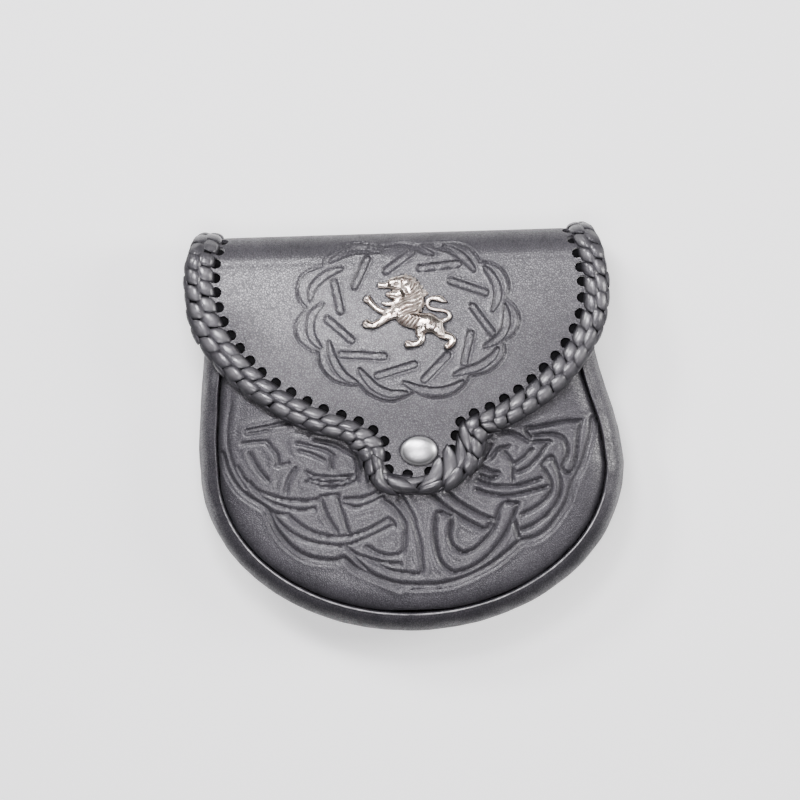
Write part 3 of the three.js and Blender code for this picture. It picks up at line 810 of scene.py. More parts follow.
def copied(piece: bpy.types.Object) -> bpy.types.Object:
    """Copy a piece with its own mesh.

    Args:
        piece: The piece.

    Returns:
        The copy.
    """
    twin = piece.copy()
    twin.data = piece.data.copy()
    bpy.context.scene.collection.objects.link(twin)
    return twin


def paint(piece: bpy.types.Object, name: str, values: np.ndarray) -> None:
    """Store one value for each point, for a material to read.

    Args:
        piece: The piece.
        name: Name of the attribute.
        values: Values of the first points; the others get 0.
    """
    full = np.zeros(len(piece.data.vertices), np.float32)
    full[:len(values)] = values
    layer = piece.data.attributes.new(name, "FLOAT", "POINT")
    layer.data.foreach_set("value", full)


def give_wall(
    piece: bpy.types.Object, plain: np.ndarray, outer: np.ndarray, inner: np.ndarray, thickness: float,
) -> None:
    """Shape a grid and turn it into a wall. The points of its outer face come first.

    Args:
        piece: The grid.
        plain: Its points before anything is pressed into it, in the drawing frame.
        outer: Points of the finished outer face.
        inner: Points of the finished inner face.
        thickness: The wall's thickness.
    """
    move_points(piece, to_frame(plain))
    top = max(piece.data.polygons, key=lambda face: face.center.z)
    side = -1.0 if top.normal.z > 0 else 1.0
    apply_modifier(piece, "SOLIDIFY", thickness=thickness * MM, offset=side)
    points = coordinates(piece)
    count = len(plain)
    points[:count] = to_frame(outer)
    points[count:] = to_frame(inner)[:len(points) - count]
    move_points(piece, points)


def thin_inside(piece: bpy.types.Object, kept: int, share: float) -> None:
    """Thin out the part of a wall that nobody sees.

    Args:
        piece: The wall.
        kept: Number of its first points, which all stay.
        share: Share of all triangles that stays.
    """
    group = piece.vertex_groups.new(name="inside")
    group.add(list(range(kept, len(piece.data.vertices))), 1.0, "REPLACE")
    apply_modifier(piece, "DECIMATE", ratio=share, vertex_group=group.name)
    piece.vertex_groups.clear()


# Shader groups

class Nodes:
    """Small helper that adds and links shader nodes in one tree."""

    def __init__(self, tree: bpy.types.NodeTree) -> None:
        """Keep the tree that nodes are added to."""
        self.tree = tree

    def add(self, kind: str, inputs: dict | None = None, **settings: object) -> bpy.types.Node:
        """Add a node.

        Args:
            kind: Blender's name of the node's type.
            inputs: Values or output sockets for its inputs, by name or number.
            settings: Properties of the node.

        Returns:
            The node.
        """
        node = self.tree.nodes.new(kind)
        for key, value in settings.items():
            setattr(node, key, value)
        self.feed(node, inputs or {})
        return node

    def feed(self, node: bpy.types.Node, inputs: dict) -> None:
        """Link or set some inputs of a node.

        Args:
            node: The node.
            inputs: Values or output sockets, by the input's name or number.
        """
        for key, value in inputs.items():
            if isinstance(value, bpy.types.NodeSocket):
                self.tree.links.new(value, node.inputs[key])
            else:
                node.inputs[key].default_value = value

    def math(self, operation: str, *values: object, clamp: bool = False) -> bpy.types.NodeSocket:
        """Add a Math node and give its result."""
        node = self.add("ShaderNodeMath", dict(enumerate(values)), operation=operation, use_clamp=clamp)
        return node.outputs[0]

    def plus(
        self, value: object, mask: bpy.types.NodeSocket, share: float, clamp: bool = False,
    ) -> bpy.types.NodeSocket:
        """Add a share of a mask to a value."""
        return self.math("ADD", value, self.math("MULTIPLY", mask, share), clamp=clamp)

    def attribute(self, name: str) -> bpy.types.NodeSocket:
        """Read a value that is stored on the piece's points."""
        return self.add("ShaderNodeAttribute", attribute_name=name).outputs["Fac"]

    def ramp(self, value: bpy.types.NodeSocket, low: float, high: float) -> bpy.types.NodeSocket:
        """Stretch a value so that low becomes 0 and high becomes 1."""
        node = self.add("ShaderNodeMapRange", {"Value": value, "From Min": low, "From Max": high})
        return node.outputs["Result"]

    def mix(self, share: object, first: object, second: object) -> bpy.types.NodeSocket:
        """Mix two colours.

        Args:
            share: Share of the second one, a socket.
            first: A colour or a socket.
            second: A colour or a socket.

        Returns:
            The socket of the mixed colour.
        """
        node = self.add("ShaderNodeMix", {0: share}, data_type="RGBA")
        for key, value in ((6, first), (7, second)):
            self.feed(node, {key: value if isinstance(value, bpy.types.NodeSocket) else (*value, 1.0)})
        return node.outputs[2]


def new_material(name: str) -> tuple[bpy.types.Material, Nodes, bpy.types.Node]:
    """Start a material.

    Args:
        name: Its name.

    Returns:
        The material, the helper for its nodes and its shader.
    """
    material = bpy.data.materials.new(name)
    material.use_nodes = True
    return material, Nodes(material.node_tree), material.node_tree.nodes["Principled BSDF"]


def group(
    name: str, inputs: dict[str, float], outputs: Iterable[str],
) -> tuple[Nodes, dict, bpy.types.Node]:
    """Start a shader node group of plain values.

    Args:
        name: The group's name.
        inputs: Its inputs with their defaults.
        outputs: Its outputs.

    Returns:
        The helper for its nodes, the input sockets by name and the output node.
    """
    tree = bpy.data.node_groups.new(name, "ShaderNodeTree")
    for key, value in inputs.items():
        socket = tree.interface.new_socket(name=key, in_out="INPUT", socket_type="NodeSocketFloat")
        socket.default_value = value
    for key in outputs:
        tree.interface.new_socket(name=key, in_out="OUTPUT", socket_type="NodeSocketFloat")
    nodes = Nodes(tree)
    source = nodes.add("NodeGroupInput")
    return nodes, {key: source.outputs[key] for key in inputs}, nodes.add("NodeGroupOutput")


def grain_group() -> bpy.types.NodeTree:
    """Build the leather grain: fine pebbles, wide mottling and creases.

    Returns:
        The group, with Height, Pebble and Mottle outputs.
    """
    nodes, source, out = group(
        "leather_grain", {"Pebbles": 1100.0, "Mottling": 45.0, "Creases": 90.0},
        ("Height", "Pebble", "Mottle"))
    place = nodes.add("ShaderNodeTexCoord").outputs["Object"]
    warp = nodes.add("ShaderNodeTexNoise", {"Vector": place, "Scale": 420.0, "Detail": 2.0})
    bent = nodes.add(
        "ShaderNodeVectorMath", {0: warp.outputs["Color"], "Scale": 0.0012}, operation="SCALE")
    moved = nodes.add("ShaderNodeVectorMath", {0: place, 1: bent.outputs[0]}, operation="ADD")
    pebbles = nodes.add(
        "ShaderNodeTexVoronoi", {"Vector": moved.outputs[0], "Scale": source["Pebbles"]},
        feature="DISTANCE_TO_EDGE")
    pebble = nodes.ramp(pebbles.outputs["Distance"], 0.0, 0.22)
    fine = nodes.add("ShaderNodeTexNoise", {
        "Vector": place, "Scale": 2600.0, "Detail": 4.0, "Roughness": 0.6})
    wide = nodes.add("ShaderNodeTexNoise", {
        "Vector": place, "Scale": source["Mottling"], "Detail": 5.0, "Roughness": 0.55, "Distortion": 0.4})
    crease = nodes.add("ShaderNodeTexNoise", {
        "Vector": moved.outputs[0], "Scale": source["Creases"], "Detail": 3.0, "Distortion": 1.4})
    line = nodes.math("ABSOLUTE", nodes.math("SUBTRACT", crease.outputs["Fac"], 0.5))
    crease_mask = nodes.math("SUBTRACT", 1.0, nodes.ramp(line, 0.0, 0.035))
    height = nodes.plus(nodes.math("MULTIPLY", pebble, 0.6), fine.outputs["Fac"], 0.4)
    height = nodes.math("SUBTRACT", height, nodes.math("MULTIPLY", crease_mask, 0.12))
    mottle = nodes.ramp(wide.outputs["Fac"], 0.3, 0.7)
    nodes.feed(out, {"Height": height, "Pebble": pebble, "Mottle": mottle})
    return nodes.tree


def wear_and_highlight_group() -> bpy.types.NodeTree:
    """Build the mask of rubbing on marked edges and of painted highlights, broken up by noise.

    Returns:
        The group, with Mask and Scratches outputs.
    """
    nodes, source, out = group(
        "edge_rubbing_and_highlights", {"Edge": 0.0, "Amount": 1.0, "Patches": 240.0}, ("Mask", "Scratches"))
    place = nodes.add("ShaderNodeTexCoord").outputs["Object"]
    patch = nodes.add("ShaderNodeTexNoise", {
        "Vector": place, "Scale": source["Patches"], "Detail": 6.0, "Roughness": 0.7})
    broken = nodes.math("ADD", source["Edge"], nodes.math("SUBTRACT", patch.outputs["Fac"], 0.55))
    mask = nodes.math("MULTIPLY", nodes.ramp(broken, 0.35, 0.9), source["Amount"], clamp=True)
    stretch = nodes.add("ShaderNodeMapping", {
        "Vector": place, "Scale": (900.0, 60.0, 300.0), "Rotation": (0.0, 0.0, 0.5)})
    streak = nodes.add("ShaderNodeTexNoise", {"Vector": stretch.outputs[0], "Scale": 1.0, "Detail": 3.0})
    nodes.feed(out, {"Mask": mask, "Scratches": nodes.ramp(streak.outputs["Fac"], 0.58, 0.72)})
    return nodes.tree


def hollow_and_shade_group() -> bpy.types.NodeTree:
    """Build the mask of marked pressings, hollows and painted shade, uneven along their length.

    Returns:
        The group, with one Mask output.
    """
    nodes, source, out = group("pressings_and_painted_shade", {"Press_and_shade": 0.0, "Unevenness": 0.35}, ("Mask",))
    place = nodes.add("ShaderNodeTexCoord").outputs["Object"]
    patch = nodes.add("ShaderNodeTexNoise", {"Vector": place, "Scale": 160.0, "Detail": 3.0})
    uneven = nodes.math("MULTIPLY", nodes.ramp(patch.outputs["Fac"], 0.65, 0.35), source["Unevenness"])
    kept = nodes.math("SUBTRACT", 1.0, uneven)
    nodes.feed(out, {"Mask": nodes.math("MULTIPLY", source["Press_and_shade"], kept, clamp=True)})
    return nodes.tree


class Shared:
    """The shader groups that the finishes share, each built once."""

    def __init__(self) -> None:
        """Build all groups."""
        self.grain = grain_group()
        self.wear_and_highlight = wear_and_highlight_group()
        self.hollow_and_shade = hollow_and_shade_group()


@dataclass(frozen=True)
class Leather:
    """A finish of polished black leather. The coat is its gloss, and polish is the coat's roughness."""

    name: str
    base: Rgb
    light: Rgb
    # colour of marked pressings and of painted shade
    hollow_and_shade: Rgb
    # colour of rubbing on marked edges and of painted highlights
    worn_and_highlight: Rgb
    roughness: float
    grain: float
    pebbles: float = 1100.0
    wear_and_highlight: float = 0.5
    coat: float = 0.6
    specular: float = 0.25
    polish: float = 0.34
    bump_distance: float = 0.00026

    def build(self, shared: Shared) -> bpy.types.Material:
        """Build the material.

        Args:
            shared: The shader groups.

        Returns:
            The material.
        """
        material, nodes, shader = new_material(self.name)
        grain = nodes.add("ShaderNodeGroup", {"Pebbles": self.pebbles}, node_tree=shared.grain)
        rubbing_and_highlight = {"Edge": nodes.attribute("edge"), "Amount": self.wear_and_highlight}
        wear_and_highlight = nodes.add("ShaderNodeGroup", rubbing_and_highlight, node_tree=shared.wear_and_highlight)
        hollow_and_shade = nodes.add("ShaderNodeGroup", {"Press_and_shade": nodes.attribute("press_and_shade")}, node_tree=shared.hollow_and_shade)
        height, mottle, pressed_and_shaded = grain.outputs["Height"], grain.outputs["Mottle"], hollow_and_shade.outputs["Mask"]
        colour = nodes.mix(mottle, self.base, self.light)
        pits = nodes.math("MULTIPLY", nodes.math("SUBTRACT", 1.0, grain.outputs["Pebble"]), 0.45)
        colour = nodes.mix(pits, colour, tuple(0.6 * c for c in self.base))
        # rubbing on marked edges and painted highlights take the light colour
        colour = nodes.mix(wear_and_highlight.outputs["Mask"], colour, self.worn_and_highlight)
        # painted shade and marked pressings take the dark colour, and lose most of their coat below
        colour = nodes.mix(pressed_and_shaded, colour, self.hollow_and_shade)
        rough = nodes.plus(self.roughness - 0.06, mottle, 0.1)
        rough = nodes.plus(rough, wear_and_highlight.outputs["Mask"], 0.15)
        rough = nodes.plus(rough, pressed_and_shaded, 0.5, clamp=True)
        speckle = nodes.plus(0.35, nodes.ramp(height, 0.42, 0.86), 1.3)
        open_share = nodes.math("SUBTRACT", 1.0, pressed_and_shaded)
        coat = nodes.math("MULTIPLY", open_share, nodes.math("MULTIPLY", speckle, self.coat), clamp=True)
        bump = nodes.add("ShaderNodeBump", {
            "Height": height, "Strength": self.grain, "Distance": self.bump_distance})
        nodes.feed(shader, {
            "Base Color": colour, "Roughness": rough, "Coat Weight": coat, "Normal": bump.outputs["Normal"],
            "Specular IOR Level": self.specular, "Specular Tint": (1.0, 0.965, 1.04, 1.0),
            "Coat Roughness": self.polish})
        return material


@dataclass(frozen=True)
class Metal:
    """A finish of cast or pressed metal."""

    name: str
    base: Rgb
    shade: Rgb
    # colour of the patina in cut hollows and of painted shade on low and steep sides
    hollow_and_shade: Rgb
    roughness: float
    bump: float
    scale: float = 500.0
    bump_distance: float = 0.0001

    def build(self, shared: Shared) -> bpy.types.Material:
        """Build the material.

        Args:
            shared: The shader groups.

        Returns:
            The material.
        """
        material, nodes, shader = new_material(self.name)
        place = nodes.add("ShaderNodeTexCoord").outputs["Object"]
        patch = nodes.add("ShaderNodeTexNoise", {"Vector": place, "Scale": self.scale, "Detail": 5.0})
        wear_and_highlight = nodes.add("ShaderNodeGroup", node_tree=shared.wear_and_highlight)
        hollow_and_shade = nodes.add("ShaderNodeGroup", {"Press_and_shade": nodes.attribute("press_and_shade")}, node_tree=shared.hollow_and_shade)
        cloud, pressed_and_shaded = patch.outputs["Fac"], hollow_and_shade.outputs["Mask"]
        colour = nodes.mix(nodes.ramp(cloud, 0.35, 0.7), self.base, self.shade)
        # patina in the cut hollows and the painted shade that the pieces mark take the dark colour, with
        # less metal sheen
        colour = nodes.mix(pressed_and_shaded, colour, self.hollow_and_shade)
        rough = nodes.plus(self.roughness, cloud, 0.12)
        rough = nodes.plus(rough, wear_and_highlight.outputs["Scratches"], 0.06)
        rough = nodes.plus(rough, pressed_and_shaded, 0.35, clamp=True)
        metallic = nodes.math("SUBTRACT", 1.0, nodes.math("MULTIPLY", pressed_and_shaded, 0.7))
        bump = nodes.add("ShaderNodeBump", {
            "Height": cloud, "Strength": self.bump, "Distance": self.bump_distance})
        nodes.feed(shader, {
            "Base Color": colour, "Roughness": rough, "Metallic": metallic,
            "Normal": bump.outputs["Normal"]})
        return material


def dress(
    piece: bpy.types.Object, material: bpy.types.Material, slot: Slot, *nodes: str,
) -> bpy.types.Object:
    """Give a piece its finish, its body and the CAD nodes that it stands for.

    Args:
        piece: The finished piece.
        material: Its finish.
        slot: The record's slot of that finish.
        nodes: CAD nodes that it replaces.

    Returns:
        The piece.
    """
    for name in ("press_and_shade", "edge"):
        if name not in piece.data.attributes:
            paint(piece, name, ())
    piece.data.materials.clear()
    piece.data.materials.append(material)
    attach(piece, BODY)
    if nodes:
        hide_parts(*nodes)
    LOG.info("%s: %d faces, slot %s", piece.name, len(piece.data.polygons), slot.value)
    return piece


# The leather sheet

@dataclass
class BackAndFlap:
    """Back panel, fold and laced flap in one sheet, with the stamped wreath and the punched holes."""

    hole_r: float = 2.3
    inset: float = 1.2
    straight_top: float = 141.0
    slot_r: float = 1.15
    crescent_r: float = 1.35
    crescent_taper: float = 0.7
    slot_depth: float = 0.8
    line_depth: float = 0.6
    fold_shade_q: float = 152.5
    dense_from: float = 0.2
    dense_to: float = 0.86

    def rows(self) -> np.ndarray:
        """List the sheet's rows.

        Returns:
            Left x, left q, right x and right q of every row.
        """
        rows = []
        turn_q = 2 * SHEET.fold_y + math.pi * SHEET.fold_r
        for angle in np.linspace(math.pi / 2 * 0.97, 0, 20, endpoint=False):
            y = WIDEST_Y - (BOWL_DROP - self.inset) * math.sin(angle)
            half = (BOWL_HALF - self.inset) * math.cos(angle)
            rows.append((BOWL_X - half, turn_q - y, BOWL_X + half, turn_q - y))
        for y in np.linspace(WIDEST_Y, self.straight_top, 16):
            left, right = (float(body_edge(np.array([y]), s, self.inset)[0]) for s in (-1, 1))
            rows.append((left, turn_q - y, right, turn_q - y))
        half = LACING.last / 2
        steps = np.concatenate([
            np.linspace(0, 2.2, 22, endpoint=False), np.linspace(2.2, 9.2, 155, endpoint=False),
            np.linspace(9.2, half - 0.25, 38)])
        left, right = LACING.leather_edge(steps), LACING.leather_edge(LACING.last - steps)
        rows.extend(np.concatenate([left, right], 1).tolist())
        return np.array(rows)

    def press_and_shade(self, xq: np.ndarray) -> tuple[np.ndarray, np.ndarray, np.ndarray]:
        """Measure the wreath's pressing, and the painted shade on the sheet.

        Args:
            xq: Points of the sheet as x and q.

        Returns:
            The depth in millimetres, the painted shade of the wreath's lines, over the fold and round the
            snap and the badge, and the raised lips beside the lines.
        """
        depth, dark, lips = np.zeros((3, len(xq)))
        shapes = [(line, self.slot_r, 0.0) for line in SLOTS]
        shapes += [(line, self.crescent_r, self.crescent_taper) for line in CRESCENTS]
        for line, radius, taper in shapes:
            gap, along = distance_to(xq, rounded_line(line), 4.0)
            width = radius * (1 - taper * np.abs(2 * along - 1) ** 3)
            depth = np.maximum(depth, self.slot_depth * smooth((width + 0.2 - gap) / 0.5))
            wall = np.exp(-((gap - width) / 0.28) ** 2)
            depth = np.maximum(depth, (self.slot_depth + 0.1) * wall * (gap < width + 1))
            # painted shade along the walls of the slots and crescents
            dark = np.maximum(dark, 0.42 * wall)
            lips = np.maximum(lips, np.exp(-((gap - width - 0.85) / 0.4) ** 2))
        for line in SCALLOPS:
            gap, _ = distance_to(xq, rounded_line(line), 2.5)
            trench = np.exp(-(gap / 0.42) ** 2)
            depth = np.maximum(depth, self.line_depth * trench)
            # painted shade in the scallop lines
            dark = np.maximum(dark, 0.45 * trench)
            lips = np.maximum(lips, 0.8 * np.exp(-((gap - 0.95) / 0.4) ** 2))
        faint = 1 - 0.55 * smooth((-14 - xq[:, 0]) / 18) * smooth((xq[:, 1] - 112) / 14)
        lips = lips * np.clip(1 - depth / 0.2, 0, 1) * faint
        dark = dark * faint
        # painted shade over the fold, darker towards the top
        fold = 0.42 * smooth((xq[:, 1] - self.fold_shade_q) / 14)
        dark = np.maximum.reduce([dark, fold, SnapCap().shadow(xq), LionBadge().shadow(xq)])
        return depth * (0.3 + 0.7 * faint) - 0.18 * lips, dark, lips

    def build(self) -> bpy.types.Object:
        """Build the sheet.

        Returns:
            The finished piece.
        """
        rows = self.rows()
        across = np.concatenate([
            np.linspace(0, self.dense_from, 20, endpoint=False),
            np.linspace(self.dense_from, self.dense_to, 216), np.linspace(self.dense_to, 1, 15)[1:]])
        piece, u, v = grid("leather_back_and_flap", len(across) - 1, len(rows) - 1)
        share = across[np.rint(u * (len(across) - 1)).astype(int)]
        row = rows[np.rint(v * (len(rows) - 1)).astype(int)]
        x = row[:, 0] + (row[:, 2] - row[:, 0]) * share
        q = row[:, 1] + (row[:, 3] - row[:, 1]) * share
        xq = np.stack([x, q], 1)
        depth, dark, lips = self.press_and_shade(xq)
        wave = 0.1 * value_noise(xq, 26, 4) * smooth((150 - q) / 12)
        give_wall(
            piece, SHEET.point(x, q, 0.0), SHEET.point(x, q, depth + 0.12 + wave),
            SHEET.point(x, q, SHEET.thickness), SHEET.thickness)
        hem = np.minimum(share, 1 - share) * (row[:, 2] - row[:, 0])
        # painted shade of the wreath's lines, over the fold, and round the snap and the badge
        paint(piece, "press_and_shade", dark)
        # rubbing along the sheet's edge, and a painted highlight on the raised lips beside the wreath's
        # lines
        paint(piece, "edge", np.maximum(smooth((3 - hem) / 3), 0.5 * lips))
        thin_inside(piece, len(x), 0.56)
        outward(piece)
        self.punch(piece)
        smooth_shading(piece, 50)
        return piece

    def punch(self, piece: bpy.types.Object) -> None:
        """Cut the lacing holes through the flap.

        Args:
            piece: The sheet.
        """
        cutters = []
        rows = np.arange(0, LACING.last + 0.01, 0.5)
        hole, _, _ = LACING.at(rows)
        for x, q in hole:
            outer, inner = (to_frame(SHEET.point(x, q, d)) for d in (-2.0, SHEET.thickness + 2.0))
            way = Vector(outer - inner)
            nothing_selected()
            bpy.ops.mesh.primitive_cylinder_add(
                vertices=28, radius=self.hole_r * MM, depth=way.length,
                location=Vector((outer + inner) / 2), rotation=way.to_track_quat("Z", "Y").to_euler())
            bpy.ops.object.transform_apply(location=True, rotation=True, scale=True)
            cutters.append(bpy.context.object)
        cutter = joined("hole_punch", cutters)
        apply_modifier(piece, "BOOLEAN", operation="DIFFERENCE", object=cutter, solver="MANIFOLD")
        bpy.data.objects.remove(cutter)


# The moulded front

@dataclass
class FrontPanel:
    """Moulded front of the pouch, with the knotwork stamped into its face."""

    x: float = 3.0
    y: float = 84.0
    crown: float = 36.8
    inset: float = 8.4
    mouth_z: float = 33.4
    mouth_y: float = 129.0
    lip: float = 0.89
    foot_z: float = 9.7
    thickness: float = 2.4
    arm_steps: int = 60
    bowl_steps: int = 400
    columns: int = 300
    rows_to: float = 100.0

    def outline(self) -> np.ndarray:
        """Draw the rim from the left end of the mouth round to the right one and back.

        Returns:
            Rows of x, y and z.
        """
        path = pouch_outline(self.mouth_y, self.arm_steps, self.bowl_steps)
        rim = path - self.inset * off_right(path)
        z = self.foot_z + (shoulder_z(rim[:, 1]) - self.foot_z) * self.lip
        mouth = rim[-1] + (rim[0] - rim[-1]) * np.linspace(0, 1, 120)[1:-1, None]
        off = np.minimum(*(np.linalg.norm(mouth - end, axis=1) for end in (rim[0], rim[-1])))
        mouth_z = z[0] + (self.mouth_z - z[0]) * smooth(off / 22)
        return np.vstack([np.column_stack([rim, z]), np.column_stack([mouth, mouth_z])])

    def surface(self, xy: np.ndarray, rim: np.ndarray) -> tuple[np.ndarray, np.ndarray]:
        """Give the height of the dome.

        Args:
            xy: Points in the plane.
            rim: The panel's outline.

        Returns:
            The heights, and how far out each point lies, 1 at the rim.
        """
        angles = np.arctan2(rim[:, 1] - self.y, rim[:, 0] - self.x)
        order = np.argsort(angles)
        reach = np.hypot(rim[:, 0] - self.x, rim[:, 1] - self.y)
        turn = np.arctan2(xy[:, 1] - self.y, xy[:, 0] - self.x)
        far = np.interp(turn, angles[order], reach[order], period=2 * math.pi)
        base = np.interp(turn, angles[order], rim[order, 2], period=2 * math.pi)
        ring = np.clip(np.hypot(xy[:, 0] - self.x, xy[:, 1] - self.y) / far, 0, 1)
        share = 0.35 * (1 - ring ** 24) + 0.65 * (1 - ring ** 2.5)
        return base + (self.crown - base) * share, ring

    @staticmethod
    def press_and_shade(xy: np.ndarray) -> tuple[np.ndarray, np.ndarray]:
        """Measure the knotwork's pressing.

        Args:
            xy: Points in the plane.

        Returns:
            The depth in millimetres and the painted shade in the knotwork's lines.
        """
        depth, swell, dark = np.zeros((3, len(xy)))
        kinds = (  # lines, half width, depth, painted shade in the trench, swell beside them
            (RIGHT_KNOT, 0.62, 0.85, 0.66, 0.3), (LEFT_KNOT, 0.62, 0.55, 0.42, 0.25),
            (BORDER, 0.9, 0.75, 0.52, 0.2), (BORDER_LINE, 0.5, 0.3, 0.3, 0.0),
        )
        for lines, half, deep, strong, raised in kinds:
            for line in lines:
                gap, _ = distance_to(xy, rounded_line(line), 4.0)
                trench = np.exp(-(gap / half) ** 2)
                depth = np.maximum(depth, deep * trench)
                swell = np.maximum(swell, raised * np.exp(-((gap - 2.4) / 1.3) ** 2))
                dark = np.maximum(dark, strong * trench)
        return depth - swell * np.clip(1 - depth / 0.25, 0, 1), dark

    def build(self) -> bpy.types.Object:
        """Build the panel.

        Returns:
            The finished piece.
        """
        rim = self.outline()
        sides = rim[:2 * self.arm_steps + self.bowl_steps]
        low = int(np.argmin(sides[:, 1]))
        y_low = sides[low, 1]
        left, right = sides[:low + 1][::-1], sides[low:]
        heights = np.sort(np.concatenate([
            y_low + (self.rows_to - y_low) * np.sin(np.linspace(0.02, math.pi / 2, 176)) ** 1.25,
            np.linspace(self.rows_to, self.mouth_y, 9)[1:]]))
        piece, u, v = grid("moulded_front", self.columns, len(heights) - 1)
        y = heights[np.rint(v * (len(heights) - 1)).astype(int)]
        x_left, x_right = (np.interp(y, side[:, 1], side[:, 0]) for side in (left, right))
        xy = np.stack([x_left + (x_right - x_left) * u, y], 1)
        z, ring = self.surface(xy, rim)
        depth, dark = self.press_and_shade(xy)
        lift = 0.1 - depth + 0.25 * value_noise(xy, 34, 9) * (1 - ring ** 6)
        plain, outer, inner = (np.column_stack([xy, h]) for h in (z, z + lift, z - self.thickness))
        give_wall(piece, plain, outer, inner, self.thickness)
        # painted shade in the knotwork's lines and along the rim, where the panel turns down into the seam
        paint(piece, "press_and_shade", np.maximum(dark, smooth((ring - 0.965) / 0.035)))
        thin_inside(piece, len(xy), 0.55)
        outward(piece)
        smooth_shading(piece, 50)
        return piece


# Side wall with its rounded rim

@dataclass
class Gusset:
    """Side wall of the pouch, with its rounded rim and the ridge at the seam."""

    arm_top: float = 134.0
    foot_z: float = 9.7
    wall: float = 1.8
    arm_steps: int = 44
    bowl_steps: int = 172
    drawn_height: float = 22.9
    highest: float = 32.6
    ridge: float = 7.0
    groove: float = 7.35

    def path(self) -> tuple[np.ndarray, np.ndarray]:
        """Draw the outline from the left arm's top round to the right one's.

        Returns:
            The outline and its outward vectors.
        """
        path = pouch_outline(self.arm_top, self.arm_steps, self.bowl_steps)
        return path, off_right(path)

    def section(self) -> np.ndarray:
        """Draw the wall's outer profile at the height that it is drawn for.

        Returns:
            Points as outward place and height over the foot.
        """
        corners = (  # outward place, share of the height
            (-1.3, 0.0), (-0.4, 0.25), (0.0, 0.48), (-0.45, 0.67), (-1.6, 0.81), (-3.3, 0.905),
            (-5.0, 0.955), (-6.1, 0.975), (-6.6, 0.99), (-7.0, 1.0), (-7.35, 0.985), (-7.7, 0.92),
            (-7.9, 0.76),
        )
        return rounded_line([(a, b * self.drawn_height) for a, b in corners], 0.55)

    def build(self) -> bpy.types.Object:
        """Build the wall.

        Returns:
            The finished piece.
        """
        path, out = self.path()
        outer = self.section()
        inner = outer - self.wall * off_right(outer)
        inner = inner[np.linspace(0, len(inner) - 1, 12).astype(int)][::-1]
        loop = np.vstack([outer, inner])
        tall = (shoulder_z(path[:, 1]) - self.foot_z) / self.drawn_height
        place = np.repeat(path[:, None], len(loop), 1) + out[:, None] * loop[None, :, :1]
        z = self.foot_z + np.maximum(loop[None, :, 1], 0) * tall[:, None]
        rings = np.concatenate([place, z[..., None]], 2)
        flat = rings.reshape(-1, 3)
        buckle = 0.28 * value_noise(flat, 11, 21) + 0.2 * value_noise(flat, 5, 22)
        on_face = np.zeros(rings.shape[:2], bool)
        on_face[:, 3:len(outer) - 3] = True
        lift = (buckle.reshape(on_face.shape) - 0.25) * on_face * 0.7
        rings[..., :2] += out[:, None] * lift[..., None] * 0.7
        rings[..., 2] = np.minimum(rings[..., 2] + np.minimum(lift, 0.1) * 0.7, self.highest)
        piece = swept("gusset_wall", rings)
        self.shade(piece, path, out)
        smooth_shading(piece, 60)
        return piece

    def shade(self, piece: bpy.types.Object, path: np.ndarray, out: np.ndarray) -> None:
        """Paint shade into the seam groove, a crease, the foot and the lower rim, and rubbing with a
        painted highlight along the rim's ridge.

        Args:
            piece: The wall.
            path: The outline.
            out: Its outward vectors.
        """
        points = coordinates(piece) / MM - SHIFT
        away = np.full(len(points), 99.0)
        which = np.zeros(len(points), int)
        for i, p in enumerate(path):
            gap = np.hypot(*(points[:, :2] - p).T)
            closer = gap < away
            away[closer], which[closer] = gap[closer], i
        outwards = ((points[:, :2] - path[which]) * out[which]).sum(1)
        high = (points[:, 2] - self.foot_z) / (shoulder_z(path[which, 1]) - self.foot_z)
        # painted shade: the seam groove, a crease on the rim, the wall's low outer side and the outer rim
        # towards the bottom
        groove = 0.85 * smooth((-self.groove - outwards) / 0.6) * smooth((high - 0.5) / 0.2)
        crease = 0.35 * np.exp(-((outwards + 6.0) / 0.35) ** 2) * (high > 0.9)
        foot = 0.6 * smooth((0.85 - high) / 0.25) * (outwards > -3)
        below = 0.62 * smooth((62 - points[:, 1]) / 24) * smooth((outwards + 6.2) / 0.8)
        paint(piece, "press_and_shade", np.maximum.reduce([groove, crease, foot, below]))
        # rubbing along the rim's ridge, with a painted highlight line that grows stronger towards the
        # bottom
        low = 0.2 + 0.5 * smooth((78 - points[:, 1]) / 30)
        paint(piece, "edge", low * np.exp(-((outwards + self.ridge) / 0.42) ** 2) * (high > 0.9))


# Braided lace round the flap

@dataclass(frozen=True)
class StrandKind:
    """One of the braid's rows of strands.

    A row of the path holds millimetres from the hole line, a share of the braid's width that is added to
    them, and the depth under the flap's face. Offset and slant are in rows of holes.
    """

    path: tuple[tuple[float, float, float], ...]
    offset: float
    slant: float
    half: float = 0.228
    thick: float = 0.55
    taper: float = 0.0


